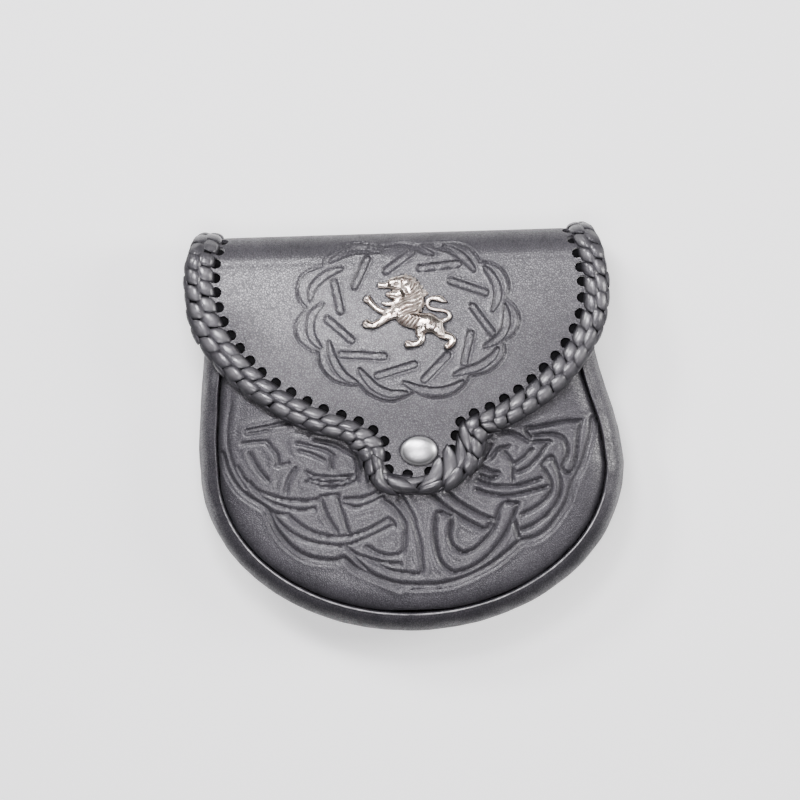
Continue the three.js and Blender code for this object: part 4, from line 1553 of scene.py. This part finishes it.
class StrandRow(Enum):
    """The braid's rows, from the holes on the front round the edge to the holes on the back."""

    HOLE = StrandKind(
        ((0.5, 0, 2.4), (0.8, 0, 0.9), (1.3, 0, -0.3), (2.4, 0, -1.2), (0, 0.46, -1.8), (0, 0.68, -0.8)),
        0.0, -0.42, taper=0.2)
    COVER = StrandKind(
        ((-3.4, 0, 0.6), (-2.8, 0, -0.6), (-0.5, 0, -1.4), (2.0, 0, -1.9), (0, 0.46, -2.0),
         (0, 0.68, -0.8)),
        0.0, -0.34, taper=0.15)
    FRONT = StrandKind(
        ((0, 0.42, -0.6), (0, 0.52, -1.7), (0, 0.66, -2.1), (0, 0.8, -1.75), (0, 0.93, -0.8),
         (0, 0.97, 0.5)),
        0.07, -0.2)
    EDGE = StrandKind(
        ((0, 0.86, -1.2), (0, 0.94, -0.7), (0, 0.985, 0.6), (0, 0.98, 2.0), (0, 0.86, 3.4), (0, 0.72, 3.6)),
        -0.35, -0.14)
    BACK = StrandKind(
        ((0, 0.8, 3.1), (0, 0.64, 4.1), (0, 0.48, 4.1), (3.0, 0, 3.6), (1.7, 0, 2.9), (0.9, 0, 1.4)),
        -0.25, 0.2)


# Row numbers, and how far the front strands lean there as a share of their usual lean
LEAN_BY_ROW = ((0, 10, 12, 13, 14.5, 16, 18, 22, 26), (0.5, 0.8, 1.0, 1.6, 2.0, 1.2, 0.6, 0.6, 0.8))
COVERED_HOLES = (13.5, 14.0)


@dataclass
class EdgeLacing:
    """Flat lace braided round the flap's edge, one strand of each row for every hole."""

    segments: int = 16
    rings: int = 10
    core_shrink: float = 0.75
    plug_r: float = 2.15
    plug_depth: float = 1.75

    @staticmethod
    def place(row: np.ndarray, along: np.ndarray, depth: np.ndarray) -> np.ndarray:
        """Place points of the braid.

        Args:
            row: Row numbers.
            along: Distances from the hole line towards the rim.
            depth: Depths under the flap's face.

        Returns:
            Points in the drawing frame.
        """
        hole, to_rim, _ = LACING.at(row)
        xq = hole + to_rim * along[..., None]
        return SHEET.point(xq[..., 0], xq[..., 1], depth)

    def strand(self, ball: bpy.types.Object, kind: StrandKind, row: float, seed: int) -> bpy.types.Object:
        """Shape one strand from a copy of the ball.

        Args:
            ball: Unit sphere that every strand is copied from.
            kind: The strand's row in the braid.
            row: Row number of its hole.
            seed: Chooses its small irregularities.

        Returns:
            The strand.
        """
        rng = np.random.default_rng(seed)
        piece = copied(ball)
        p = coordinates(piece)
        share, off, unit = ball_as_bar(p)
        full = np.minimum(1, off ** 0.22) * (off > 1e-4)
        cx = np.sign(unit[:, 0]) * np.abs(unit[:, 0]) ** 0.4 * full
        cy = np.sign(unit[:, 1]) * np.abs(unit[:, 1]) ** 0.7 * full
        middle = row + kind.offset
        width = LACING.at(np.array([middle]))[2][0]
        line = rounded_line([(a + s * width, d) for a, s, d in kind.path], 0.25)
        steps = lengths_along(line)
        spot, ahead = follow(line, steps / steps[-1], share, 0.06)
        thick = kind.thick * (1 + 0.12 * rng.normal()) * cy * (1 - 0.65 * cx ** 2)
        steer = float(np.interp(row, *LEAN_BY_ROW)) if kind.taper else 1.0
        lean = kind.slant * steer + 0.03 * rng.normal()
        half = kind.half * (1 + 0.03 * rng.normal() + 0.3 * abs(lean))
        half = half * (1 - kind.taper * (1 - smooth(share / 0.5)))
        rows = np.clip(middle + half * cx + lean * share, 0, LACING.last)
        along = spot[:, 0] + ahead[:, 1] * thick + 0.12 * rng.normal()
        depth = spot[:, 1] - ahead[:, 0] * thick + 0.1 * rng.normal()
        move_points(piece, to_frame(self.place(rows, along, depth)))
        # rubbing and a painted highlight along the middle of the strand's crown
        worn_and_highlight = smooth((cy - 0.2) / 0.6) * np.exp(-((share - 0.5) / 0.28) ** 2)
        paint(piece, "edge", worn_and_highlight * rng.uniform(0.5, 1.0))
        # painted shade on the strand's underside, its tucked ends, its sides and where it turns away over
        # the edge
        under = 0.5 * np.clip(1.2 - cy * 1.6, 0, 1)
        ends = 0.9 * smooth((np.abs(share - 0.5) - 0.24) / 0.18)
        sides = 0.95 * smooth((np.abs(cx) - 0.46) / 0.44)
        turned = 0.55 * smooth((along / width - 0.76) / 0.2)
        paint(piece, "press_and_shade", np.clip(under + ends + sides + turned, 0, 1))
        return piece

    def plug(self, ball: bpy.types.Object, row: float) -> bpy.types.Object:
        """Fill a hole's lower half with the lace that passes through it, painted black as the shade inside
        the hole.

        Args:
            ball: Unit sphere that every strand is copied from.
            row: Row number of the hole.

        Returns:
            The plug.
        """
        piece = copied(ball)
        p = coordinates(piece)
        hole, _, _ = LACING.at(np.array([row]))
        spot = hole[0] + self.plug_r * p[:, :2]
        depth = self.plug_depth + 0.5 * p[:, 2]
        move_points(piece, to_frame(SHEET.point(spot[:, 0], spot[:, 1], depth)))
        # the plug is painted as shade
        paint(piece, "press_and_shade", np.ones(len(p)))
        return piece

    def core(self) -> bpy.types.Object:
        """Build the bed of crossed strands under the visible rows, painted black as the shade between them.

        Returns:
            The bed.
        """
        rows = np.arange(0, LACING.last + 1e-6, 0.125)
        _, _, width = LACING.at(rows)
        outer = width - self.core_shrink
        edge = width - LACING.overlap + 0.5
        loop = (  # distance from the hole line, depth
            (3.1, -0.35), (3.6, -1.0), (width * 0.5, -1.5), (width * 0.8, -1.2), (outer - 0.3, -0.2),
            (outer, 1.2), (outer - 0.3, 2.6), (width * 0.8, 3.3), (width * 0.5, 3.5), (3.6, 3.2),
            (3.1, 2.75), (edge, 2.75), (edge, -0.35),
        )
        rings = np.stack([self.place(rows, np.broadcast_to(a, rows.shape), d) for a, d in loop], 1)
        piece = swept("lacing_bed_shadow", rings)
        # the whole bed is painted as shade
        paint(piece, "press_and_shade", np.ones(len(piece.data.vertices)))
        return piece

    def build_bed(self) -> bpy.types.Object:
        """Build the lace under the visible rows and inside the holes, painted black as shade.

        Returns:
            The finished piece.
        """
        ball = unit_ball(self.segments, self.rings)
        parts = [self.core()] + [self.plug(ball, k / 2) for k in range(2 * LACING.last + 1)]
        bpy.data.objects.remove(ball)
        return bundled("lacing_bed_shadow", parts)

    def build(self) -> bpy.types.Object:
        """Build the braid's visible rows.

        Returns:
            The finished piece.
        """
        ball = unit_ball(self.segments, self.rings)
        parts = []
        for k in range(2 * LACING.last + 1):
            for n, kind in enumerate(StrandRow):
                other = StrandRow.HOLE if k / 2 in COVERED_HOLES else StrandRow.COVER
                if kind is not other:
                    parts.append(self.strand(ball, kind.value, k / 2, 100 * n + k))
        parts.extend(self.tucked_ends(ball))
        bpy.data.objects.remove(ball)
        return bundled("braided_lace", parts)

    def tucked_ends(self, ball: bpy.types.Object) -> list[bpy.types.Object]:
        """Build the lace's ends, tucked under at the left corner of the tongue.

        Args:
            ball: Unit sphere that every strand is copied from.

        Returns:
            The ends.
        """
        ends = []
        path = ((0, 0.1, 0.6), (0, 0.22, -1.6), (0, 0.4, -2.6), (0, 0.58, -2.7), (0, 0.75, -1.6),
                (0, 0.85, -0.4))
        for k, (row, slant) in enumerate(((11.5, 0.9), (11.9, -0.7), (12.15, 0.5))):
            kind = StrandKind(path, 0.0, slant, half=0.2, thick=0.8)
            ends.append(self.strand(ball, kind, row, 900 + k))
        return ends


# Silver lion

@dataclass
class LionBadge:
    """Cast heraldic lion, standing on a flat back, with its mane, ribs and face cut in."""

    x: float = 4.6
    y: float = 136.6
    turn: float = -1.75
    lift: float = 0.6
    squat: float = 0.62
    voxel: float = 0.2
    lowest_cut: float = 0.35

    def limb(self, ball: bpy.types.Object, path: Sequence[tuple[float, float, float]]) -> bpy.types.Object:
        """Shape one limb from a copy of the ball.

        Args:
            ball: Fine unit sphere.
            path: Places along the limb as x, y and radius.

        Returns:
            The limb in the badge's own plane, in millimetres.
        """
        piece = copied(ball)
        p = coordinates(piece)
        share, _, unit = ball_as_bar(p)
        spots = np.asarray(path, float)
        line = rounded_line([tuple(s[:2]) for s in spots], 0.3)
        steps = lengths_along(line)
        at = [steps[int(np.argmin(np.linalg.norm(line - s[:2], axis=1)))] for s in spots]
        start, end, blunt = spots[0, 2], spots[-1, 2], 0.7
        run = -start * blunt + share * (steps[-1] + blunt * (start + end))
        held = np.clip(run, 0, steps[-1])
        past = run - held
        centre, ahead = follow(line, steps, held, 0.4)
        radius = np.interp(held, at, spots[:, 2])
        radius *= np.sqrt(np.clip(1 - (past / np.maximum(radius * blunt, 1e-6)) ** 2, 0, 1))
        side = np.stack([ahead[:, 1], -ahead[:, 0]], 1)
        move_points(piece, np.column_stack([
            centre + ahead * past[:, None] + side * (radius * unit[:, 0])[:, None],
            radius * self.squat * unit[:, 1] + 0.4]))
        return piece

    def shadow(self, xq: np.ndarray) -> np.ndarray:
        """Measure how far the leather round the badge is darkened.

        Args:
            xq: Points of the flap.

        Returns:
            The darkness, 1 under the badge.
        """
        plane = turned_by(xq - (self.x, self.y) + (-0.25, 0.3), math.radians(-self.turn))
        dark = np.zeros(len(xq))
        for path in LION_LIMBS:
            spots = np.asarray(path)
            gap, along = distance_to(plane, rounded_line([tuple(s[:2]) for s in spots], 0.3), 7.0)
            radius = np.interp(along, np.linspace(0, 1, len(spots)), spots[:, 2])
            dark = np.maximum(dark, smooth((radius + 0.75 - gap) / 0.6))
        return dark

    def spikes(self) -> list[list[tuple[float, float, float]]]:
        """Draw the pointed locks along the mane's back.

        Returns:
            The locks as limbs.
        """
        locks = []
        for x, y, dx, dy in LION_SPIKES:
            root = (x - 2.2 * dx, y - 2.2 * dy, 0.9)
            tip = (x + 0.7 * dx, y + 0.7 * dy, 0.2)
            locks.append([root, (x, y, 0.7), tip])
        return locks

    def carve(self, xy: np.ndarray) -> tuple[np.ndarray, np.ndarray]:
        """Measure the cut lines.

        Args:
            xy: Points in the badge's plane.

        Returns:
            The depth in millimetres and the darkness of the hollows.
        """
        depth, dark = np.zeros((2, len(xy)))
        kinds = (  # lines, half width, depth
            (LION_MANE, 0.34, 0.75), (LION_RIBS, 0.36, 0.8), (LION_FACE, 0.26, 0.6),
            (LION_CREASES, 0.3, 0.45),
        )
        for lines, half, deep in kinds:
            for line in lines:
                gap, along = distance_to(xy, rounded_line(line, 0.3), 2.0)
                width = half * (0.55 + 0.45 * np.sin(math.pi * np.clip(along, 0.05, 0.95)))
                cut = np.exp(-(gap / width) ** 2)
                depth = np.maximum(depth, deep * cut)
                dark = np.maximum(dark, np.maximum(cut, 0.45 * np.exp(-(gap / (2.4 * width)) ** 2)))
        return depth, dark

    def build(self) -> bpy.types.Object:
        """Build the badge.

        Returns:
            The finished piece.
        """
        ball = unit_ball(28, 40)
        parts = [self.limb(ball, path) for path in (*LION_LIMBS, *self.spikes())]
        bpy.data.objects.remove(ball)
        piece = joined("silver_lion", parts)
        apply_modifier(piece, "REMESH", mode="VOXEL", voxel_size=self.voxel)
        activate(piece)
        bpy.ops.object.mode_set(mode="EDIT")
        bpy.ops.mesh.select_all(action="SELECT")
        bpy.ops.mesh.bisect(plane_co=(0, 0, 0), plane_no=(0, 0, 1), clear_inner=True, use_fill=True)
        bpy.ops.object.mode_set(mode="OBJECT")
        apply_modifier(piece, "SMOOTH", factor=0.5, iterations=2)
        points = coordinates(piece)
        depth, dark = self.carve(points[:, :2])
        height = points[:, 2]
        cut = np.maximum(height - depth * smooth((height - 0.3) / 0.8), self.lowest_cut)
        points[:, 2] = np.where(height > self.lowest_cut, cut, height)
        points[:, 2] += np.where(height > 0.5, 0.06 * value_noise(points[:, :2], 1.3, 31), 0)
        for x, y, _, _ in LION_SPIKES:
            off = np.hypot(*(points[:, :2] - (x, y)).T)
            dark = np.maximum(dark, 0.85 * np.exp(-(off / 1.1) ** 2))
        # painted shade on the badge's low and steep sides, for the dark line round its edge
        normals = np.empty(len(points) * 3, np.float32)
        piece.data.vertex_normals.foreach_get("vector", normals)
        steep = smooth((0.66 - normals.reshape(-1, 3)[:, 2]) / 0.4)
        foot = np.maximum(smooth((1.1 - height) / 0.9), steep)
        points[:, :2] = turned_by(points[:, :2], math.radians(self.turn))
        move_points(piece, to_frame(on_flap(points, self.x, self.y, self.lift)))
        # patina in the cut hollows, darker round the locks, and the painted shade on the low and steep
        # sides
        paint(piece, "press_and_shade", np.clip(np.maximum(dark, foot * 0.95), 0, 1))
        outward(piece)
        smooth_shading(piece, 60)
        return piece


def on_flap(points: np.ndarray, x: float, y: float, lift: float) -> np.ndarray:
    """Set a shape that stands on z = 0 on the flap's outer face.

    Args:
        points: The shape in millimetres.
        x: Place across.
        y: Place along the flap.
        lift: Clear height over the face.

    Returns:
        The points in the drawing frame.
    """
    low, high, at = (SHEET.point(x, y + step, 0.0) for step in (-4.0, 4.0, 0.0))
    tilt = math.atan2(high[2] - low[2], high[1] - low[1])
    turned = np.column_stack([points[:, 0], turned_by(points[:, 1:], tilt)])
    return turned + at + np.array([0, 0, lift])


# Snap, carrier and stitching

@dataclass
class SnapCap:
    """Low oval cap of the snap, with a line of painted shade round its foot."""

    x: float = 7.1
    y: float = 78.6
    width: float = 15.2
    height: float = 12.0
    lift: float = 0.4

    def shadow(self, xq: np.ndarray) -> np.ndarray:
        """Measure how far the leather round the cap is darkened."""
        out = np.hypot((xq[:, 0] - self.x) / self.width, (xq[:, 1] - self.y) / self.height) * 2
        return 0.95 * smooth((1.15 - out) / 0.09)

    def build(self) -> bpy.types.Object:
        """Build the cap.

        Returns:
            The finished piece.
        """
        half = self.width / 2
        profile = rounded_line([
            (0.02, 0), (half * 0.8, 0), (half - 0.25, 0.02), (half, 0.25), (half - 0.12, 0.62),
            (half - 0.6, 0.98), (half * 0.8, 1.5), (half * 0.6, 1.98),
            (half * 0.35, 2.32), (half * 0.15, 2.46), (0.02, 2.5)], 0.3)
        turn = np.linspace(0, 2 * math.pi, 96, endpoint=False)
        flat = self.height / self.width
        rings = np.stack([
            np.stack([r * np.cos(turn), r * np.sin(turn) * flat, np.full_like(turn, z)], 1)
            for r, z in profile])
        placed = on_flap(rings.reshape(-1, 3), self.x, self.y, self.lift)
        piece = swept("snap_cap_oval", placed.reshape(rings.shape))
        points = coordinates(piece)[:, :2] / MM
        low, high = points.min(0), points.max(0)
        out = np.linalg.norm((2 * points - low - high) / (high - low), axis=1)
        # painted shade round the cap's rim
        paint(piece, "press_and_shade", smooth((out - 0.88) / 0.06))
        smooth_shading(piece, 60)
        return piece


@dataclass
class BeltCarrier:
    """Leather strap on the back that a belt passes through, sewn down at both flanges."""

    x: float = 3.0
    y: float = 88.0
    width: float = 96.0
    plateau: float = 58.0
    ramp: float = 7.0
    flange: float = 9.0
    wall: float = 2.0
    top: float = 6.7
    seam: float = 4.8

    def build(self) -> bpy.types.Object:
        """Build the strap.

        Returns:
            The finished piece.
        """
        half = self.plateau / 2
        reach = half + self.ramp
        end = reach + self.flange
        middle = self.wall / 2
        high = self.top - middle
        right_half = [
            (half - 8, middle), (half - 1.5, middle + 0.1), (half + 2.5, middle + 1.6),
            (reach, high - 0.2), (reach + 4, high), (end, high)]
        left_half = [(-y, z) for y, z in reversed(right_half)]
        spine = rounded_line([*left_half, (0, middle), *right_half], 1.4)
        turn = np.linspace(0, 2 * math.pi, 40, endpoint=False)
        across = np.sign(np.cos(turn)) * np.abs(np.cos(turn)) ** 0.35 * (self.width / 2)
        thick = np.sign(np.sin(turn)) * np.abs(np.sin(turn)) ** 0.5 * middle
        rings = np.stack([
            np.stack([self.x + across, self.y + p[0] - n[0] * thick, p[1] - n[1] * thick], 1)
            for p, n in zip(spine, off_right(spine))])
        rings[..., 2] = np.clip(rings[..., 2], 0.0, self.top)
        piece = swept("belt_strap", rings)
        points = coordinates(piece) / MM - SHIFT
        hem = self.width / 2 - np.abs(points[:, 0] - self.x)
        paint(piece, "edge", np.maximum(smooth((2.5 - hem) / 2.5), 0.4 * smooth((3 - points[:, 2]) / 3)))
        near = np.abs(np.abs(points[:, 1] - self.y) - (reach + self.seam))
        paint(piece, "press_and_shade", 0.5 * np.exp(-(near / 1.0) ** 2))
        smooth_shading(piece, 60)
        return piece


@dataclass
class BackStitching:
    """Waxed thread: the row round the back panel and the rows on the carrier's flanges."""

    pitch: float = 4.2
    length: float = 3.3
    thread: float = 0.42
    edge: float = 5.2
    row_half: float = 43.5

    def runs(self) -> list[tuple[np.ndarray, float]]:
        """Lay out the rows of stitches.

        Returns:
            Each row's points and the height of the leather's face that it lies on.
        """
        path, out = Gusset().path()
        rows = [(path - out * self.edge, BACK_FACE_Z)]
        carrier = BeltCarrier()
        reach = carrier.plateau / 2 + carrier.ramp + carrier.seam
        for side in (-1, 1):
            ends = [(carrier.x + end * self.row_half, carrier.y + side * reach) for end in (-1, 1)]
            rows.append((np.array(ends), carrier.top - carrier.wall))
        return rows

    def build(self) -> bpy.types.Object:
        """Build all stitches as one piece.

        Returns:
            The finished piece.
        """
        ball = unit_ball(8, 6)
        base = coordinates(ball)
        slim = np.sign(base) * np.abs(base) ** np.array([1, 1, 0.7])
        drop = -slim[:, 1] * self.thread * 0.8 - 0.12
        stitches = []
        for run, z in self.runs():
            steps = lengths_along(run)
            for at in np.arange(self.pitch, steps[-1] - self.pitch / 2, self.pitch):
                here, ahead = (np.array([np.interp(at + d, steps, run[:, k]) for k in (0, 1)])
                               for d in (0.0, 0.5))
                way = (ahead - here) / np.linalg.norm(ahead - here)
                side = np.array([-way[1], way[0]])
                flat = (here + np.outer(slim[:, 2] * self.length / 2, way + 0.12 * side)
                        + np.outer(slim[:, 0] * self.thread, side))
                piece = copied(ball)
                move_points(piece, to_frame(np.column_stack([flat, z + drop])))
                stitches.append(piece)
        bpy.data.objects.remove(ball)
        return bundled("back_stitching", stitches)


# Floor, lights and camera

@dataclass
class Stage:
    """Plain pale floor, soft studio light and the camera."""

    distance: float = 2.0
    elevation: float = 89.0
    seen: float = 0.3309
    roll: float = 1.75
    sensor: float = 36.0
    target: tuple[float, float, float] = (-0.00205, 0.0115, 0.035)

    def floor(self) -> None:
        """Add the floor with a faint mottled surface."""
        nothing_selected()
        bpy.ops.mesh.primitive_plane_add(size=6.0, location=(0, 0, 0))
        floor = named("studio_floor")
        material, nodes, shader = new_material("pale_floor")
        place = nodes.add("ShaderNodeTexCoord").outputs["Object"]
        cloud = nodes.add("ShaderNodeTexNoise", {"Vector": place, "Scale": 3.0, "Detail": 2.0})
        nodes.feed(shader, {
            "Base Color": nodes.mix(cloud.outputs["Fac"], *FLOOR_TONES), "Roughness": 0.8,
            "Specular IOR Level": 0.2, "Emission Color": (1.0, 1.0, 1.0, 1.0),
            "Emission Strength": FLOOR_GLOW})
        floor.data.materials.append(material)

    @staticmethod
    def softbox(
        name: str, place: Sequence[float], size: tuple[float, float], power: float, tint: Rgb,
    ) -> None:
        """Add a rectangular softbox that looks at the pouch.

        Args:
            name: Its name.
            place: Where it stands, in metres.
            size: Its width and height in metres.
            power: Its power in watts.
            tint: Its colour.
        """
        nothing_selected()
        way = Vector((0, 0, 0.03)) - Vector(place)
        turn = way.to_track_quat("-Z", "Y").to_euler()
        bpy.ops.object.light_add(type="AREA", location=place, rotation=turn)
        light = bpy.context.object
        light.name = name
        light.data.shape = "RECTANGLE"
        light.data.size, light.data.size_y = size
        light.data.energy = power
        light.data.color = tint

    def lights(self) -> None:
        """Add the softboxes and the even light of the room."""
        for box in SOFTBOXES:
            self.softbox(*box)
        world = bpy.data.worlds.new("studio_room")
        bpy.context.scene.world = world
        world.use_nodes = True
        background = world.node_tree.nodes["Background"]
        background.inputs["Color"].default_value = (1.0, 1.0, 1.0, 1.0)
        background.inputs["Strength"].default_value = ROOM_LIGHT

    def camera(self) -> None:
        """Add the camera, nearly overhead, turned as the pouch lies in the picture."""
        target = Vector(self.target)
        rise, turn = math.radians(self.elevation), math.radians(self.roll)
        ahead = Vector((math.sin(turn), math.cos(turn), 0))
        back = -ahead * math.cos(rise) + Vector((0, 0, math.sin(rise)))
        bpy.ops.object.camera_add(location=target + back * self.distance)
        camera = bpy.context.object
        camera.name = "photo_camera"
        up = (ahead * math.sin(rise) + Vector((0, 0, math.cos(rise)))).normalized()
        side = up.cross(back).normalized()
        camera.rotation_euler = Matrix((side, up, back)).transposed().to_euler()
        camera.data.sensor_width = self.sensor
        camera.data.lens = self.sensor * self.distance / self.seen
        camera.data.clip_end = 20.0
        bpy.context.scene.camera = camera

    def build(self) -> None:
        """Add the floor, the lights and the camera."""
        self.floor()
        self.lights()
        self.camera()


# Finishes and lights

FLOOR_TONES = ((0.55, 0.55, 0.55), (0.58, 0.58, 0.58))
FLOOR_GLOW = 0.75
ROOM_LIGHT = 0.1
SOFTBOXES = (
    ("sheen_softbox", (-0.09, 0.3, 0.66), (0.16, 0.14), 5.6, (0.975, 0.955, 1.0)),
    ("top_softbox", (0.0, 0.54, 1.5), (0.6, 0.46), 12.5, (0.98, 0.955, 1.0)),
    ("front_softbox", (-0.05, -0.32, 1.5), (0.6, 0.4), 17.0, (0.985, 0.955, 1.0)),
    ("key_softbox", (-0.75, 0.85, 1.0), (0.34, 0.3), 22.0, (1.0, 0.995, 1.0)),
    ("side_softbox", (1.2, 0.2, 0.75), (0.4, 0.8), 26.0, (1.0, 0.99, 0.98)),
)
# In each leather finish the third colour is for marked pressings and painted shade, and the fourth for
# rubbing on marked edges and painted highlights.
FLAP_FINISH = Leather(
    "flap_leather", (0.024, 0.023, 0.026), (0.036, 0.034, 0.039), (0.004, 0.004, 0.005),
    (0.2, 0.2, 0.21), 0.36, 0.8, polish=0.33)
PANEL_FINISH = Leather(
    "front_leather", (0.021, 0.02, 0.023), (0.033, 0.031, 0.036), (0.004, 0.004, 0.005), (0.16, 0.16, 0.17),
    0.38, 0.7)
GUSSET_FINISH = Leather(
    "gusset_side_leather", (0.02, 0.019, 0.022), (0.034, 0.032, 0.037), (0.005, 0.005, 0.006),
    (0.5, 0.49, 0.5), 0.34, 0.5, wear_and_highlight=0.9, specular=0.15)
LACE_FINISH = Leather(
    "lace_strap_leather", (0.008, 0.008, 0.009), (0.016, 0.015, 0.018), (0.001, 0.001, 0.002),
    (0.12, 0.118, 0.12), 0.3, 0.4, pebbles=1700.0, wear_and_highlight=0.4, coat=0.95, specular=0.45, polish=0.2)
BED_FINISH = Leather(
    "lace_shadow_leather", (0.006, 0.006, 0.007), (0.012, 0.012, 0.013), (0.001, 0.001, 0.001),
    (0.02, 0.02, 0.02), 0.6, 0.3, wear_and_highlight=0.0, coat=0.0, specular=0.08)
# In each metal finish the third colour is for the patina in cut hollows and for painted shade.
SILVER_FINISH = Metal(
    "antique_silver_cast", (0.76, 0.69, 0.63), (0.26, 0.19, 0.16), (0.015, 0.009, 0.006), 0.17, 0.6)
NICKEL_FINISH = Metal(
    "satin_nickel_cap", (0.5, 0.5, 0.51), (0.44, 0.44, 0.45), (0.04, 0.04, 0.04), 0.3, 0.1)


def main() -> None:
    """Build the stage and every piece of the pouch in order."""
    Stage().build()
    shared = Shared()
    finishes = {f.name: f.build(shared) for f in (
        FLAP_FINISH, PANEL_FINISH, GUSSET_FINISH, LACE_FINISH, BED_FINISH,
        SILVER_FINISH, NICKEL_FINISH)}
    dress(BackAndFlap().build(), finishes[FLAP_FINISH.name], Slot.BODY, "back_and_flap")
    dress(FrontPanel().build(), finishes[PANEL_FINISH.name], Slot.PANEL, "front_panel")
    dress(Gusset().build(), finishes[GUSSET_FINISH.name], Slot.GUSSET, "gusset")
    dress(EdgeLacing().build(), finishes[LACE_FINISH.name], Slot.LACE, "edge_lacing")
    dress(EdgeLacing().build_bed(), finishes[BED_FINISH.name], Slot.LACE)
    dress(LionBadge().build(), finishes[SILVER_FINISH.name], Slot.SILVER, "lion_badge")
    dress(SnapCap().build(), finishes[NICKEL_FINISH.name], Slot.NICKEL, "snap_cap")
    dress(BeltCarrier().build(), finishes[GUSSET_FINISH.name], Slot.GUSSET, "belt_carrier")
    dress(BackStitching().build(), finishes[LACE_FINISH.name], Slot.LACE)
    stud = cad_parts["snap_stud"]
    for slot in stud.material_slots:
        slot.material = finishes[NICKEL_FINISH.name]
    nothing_selected()


if __name__ == "__main__":
    main()
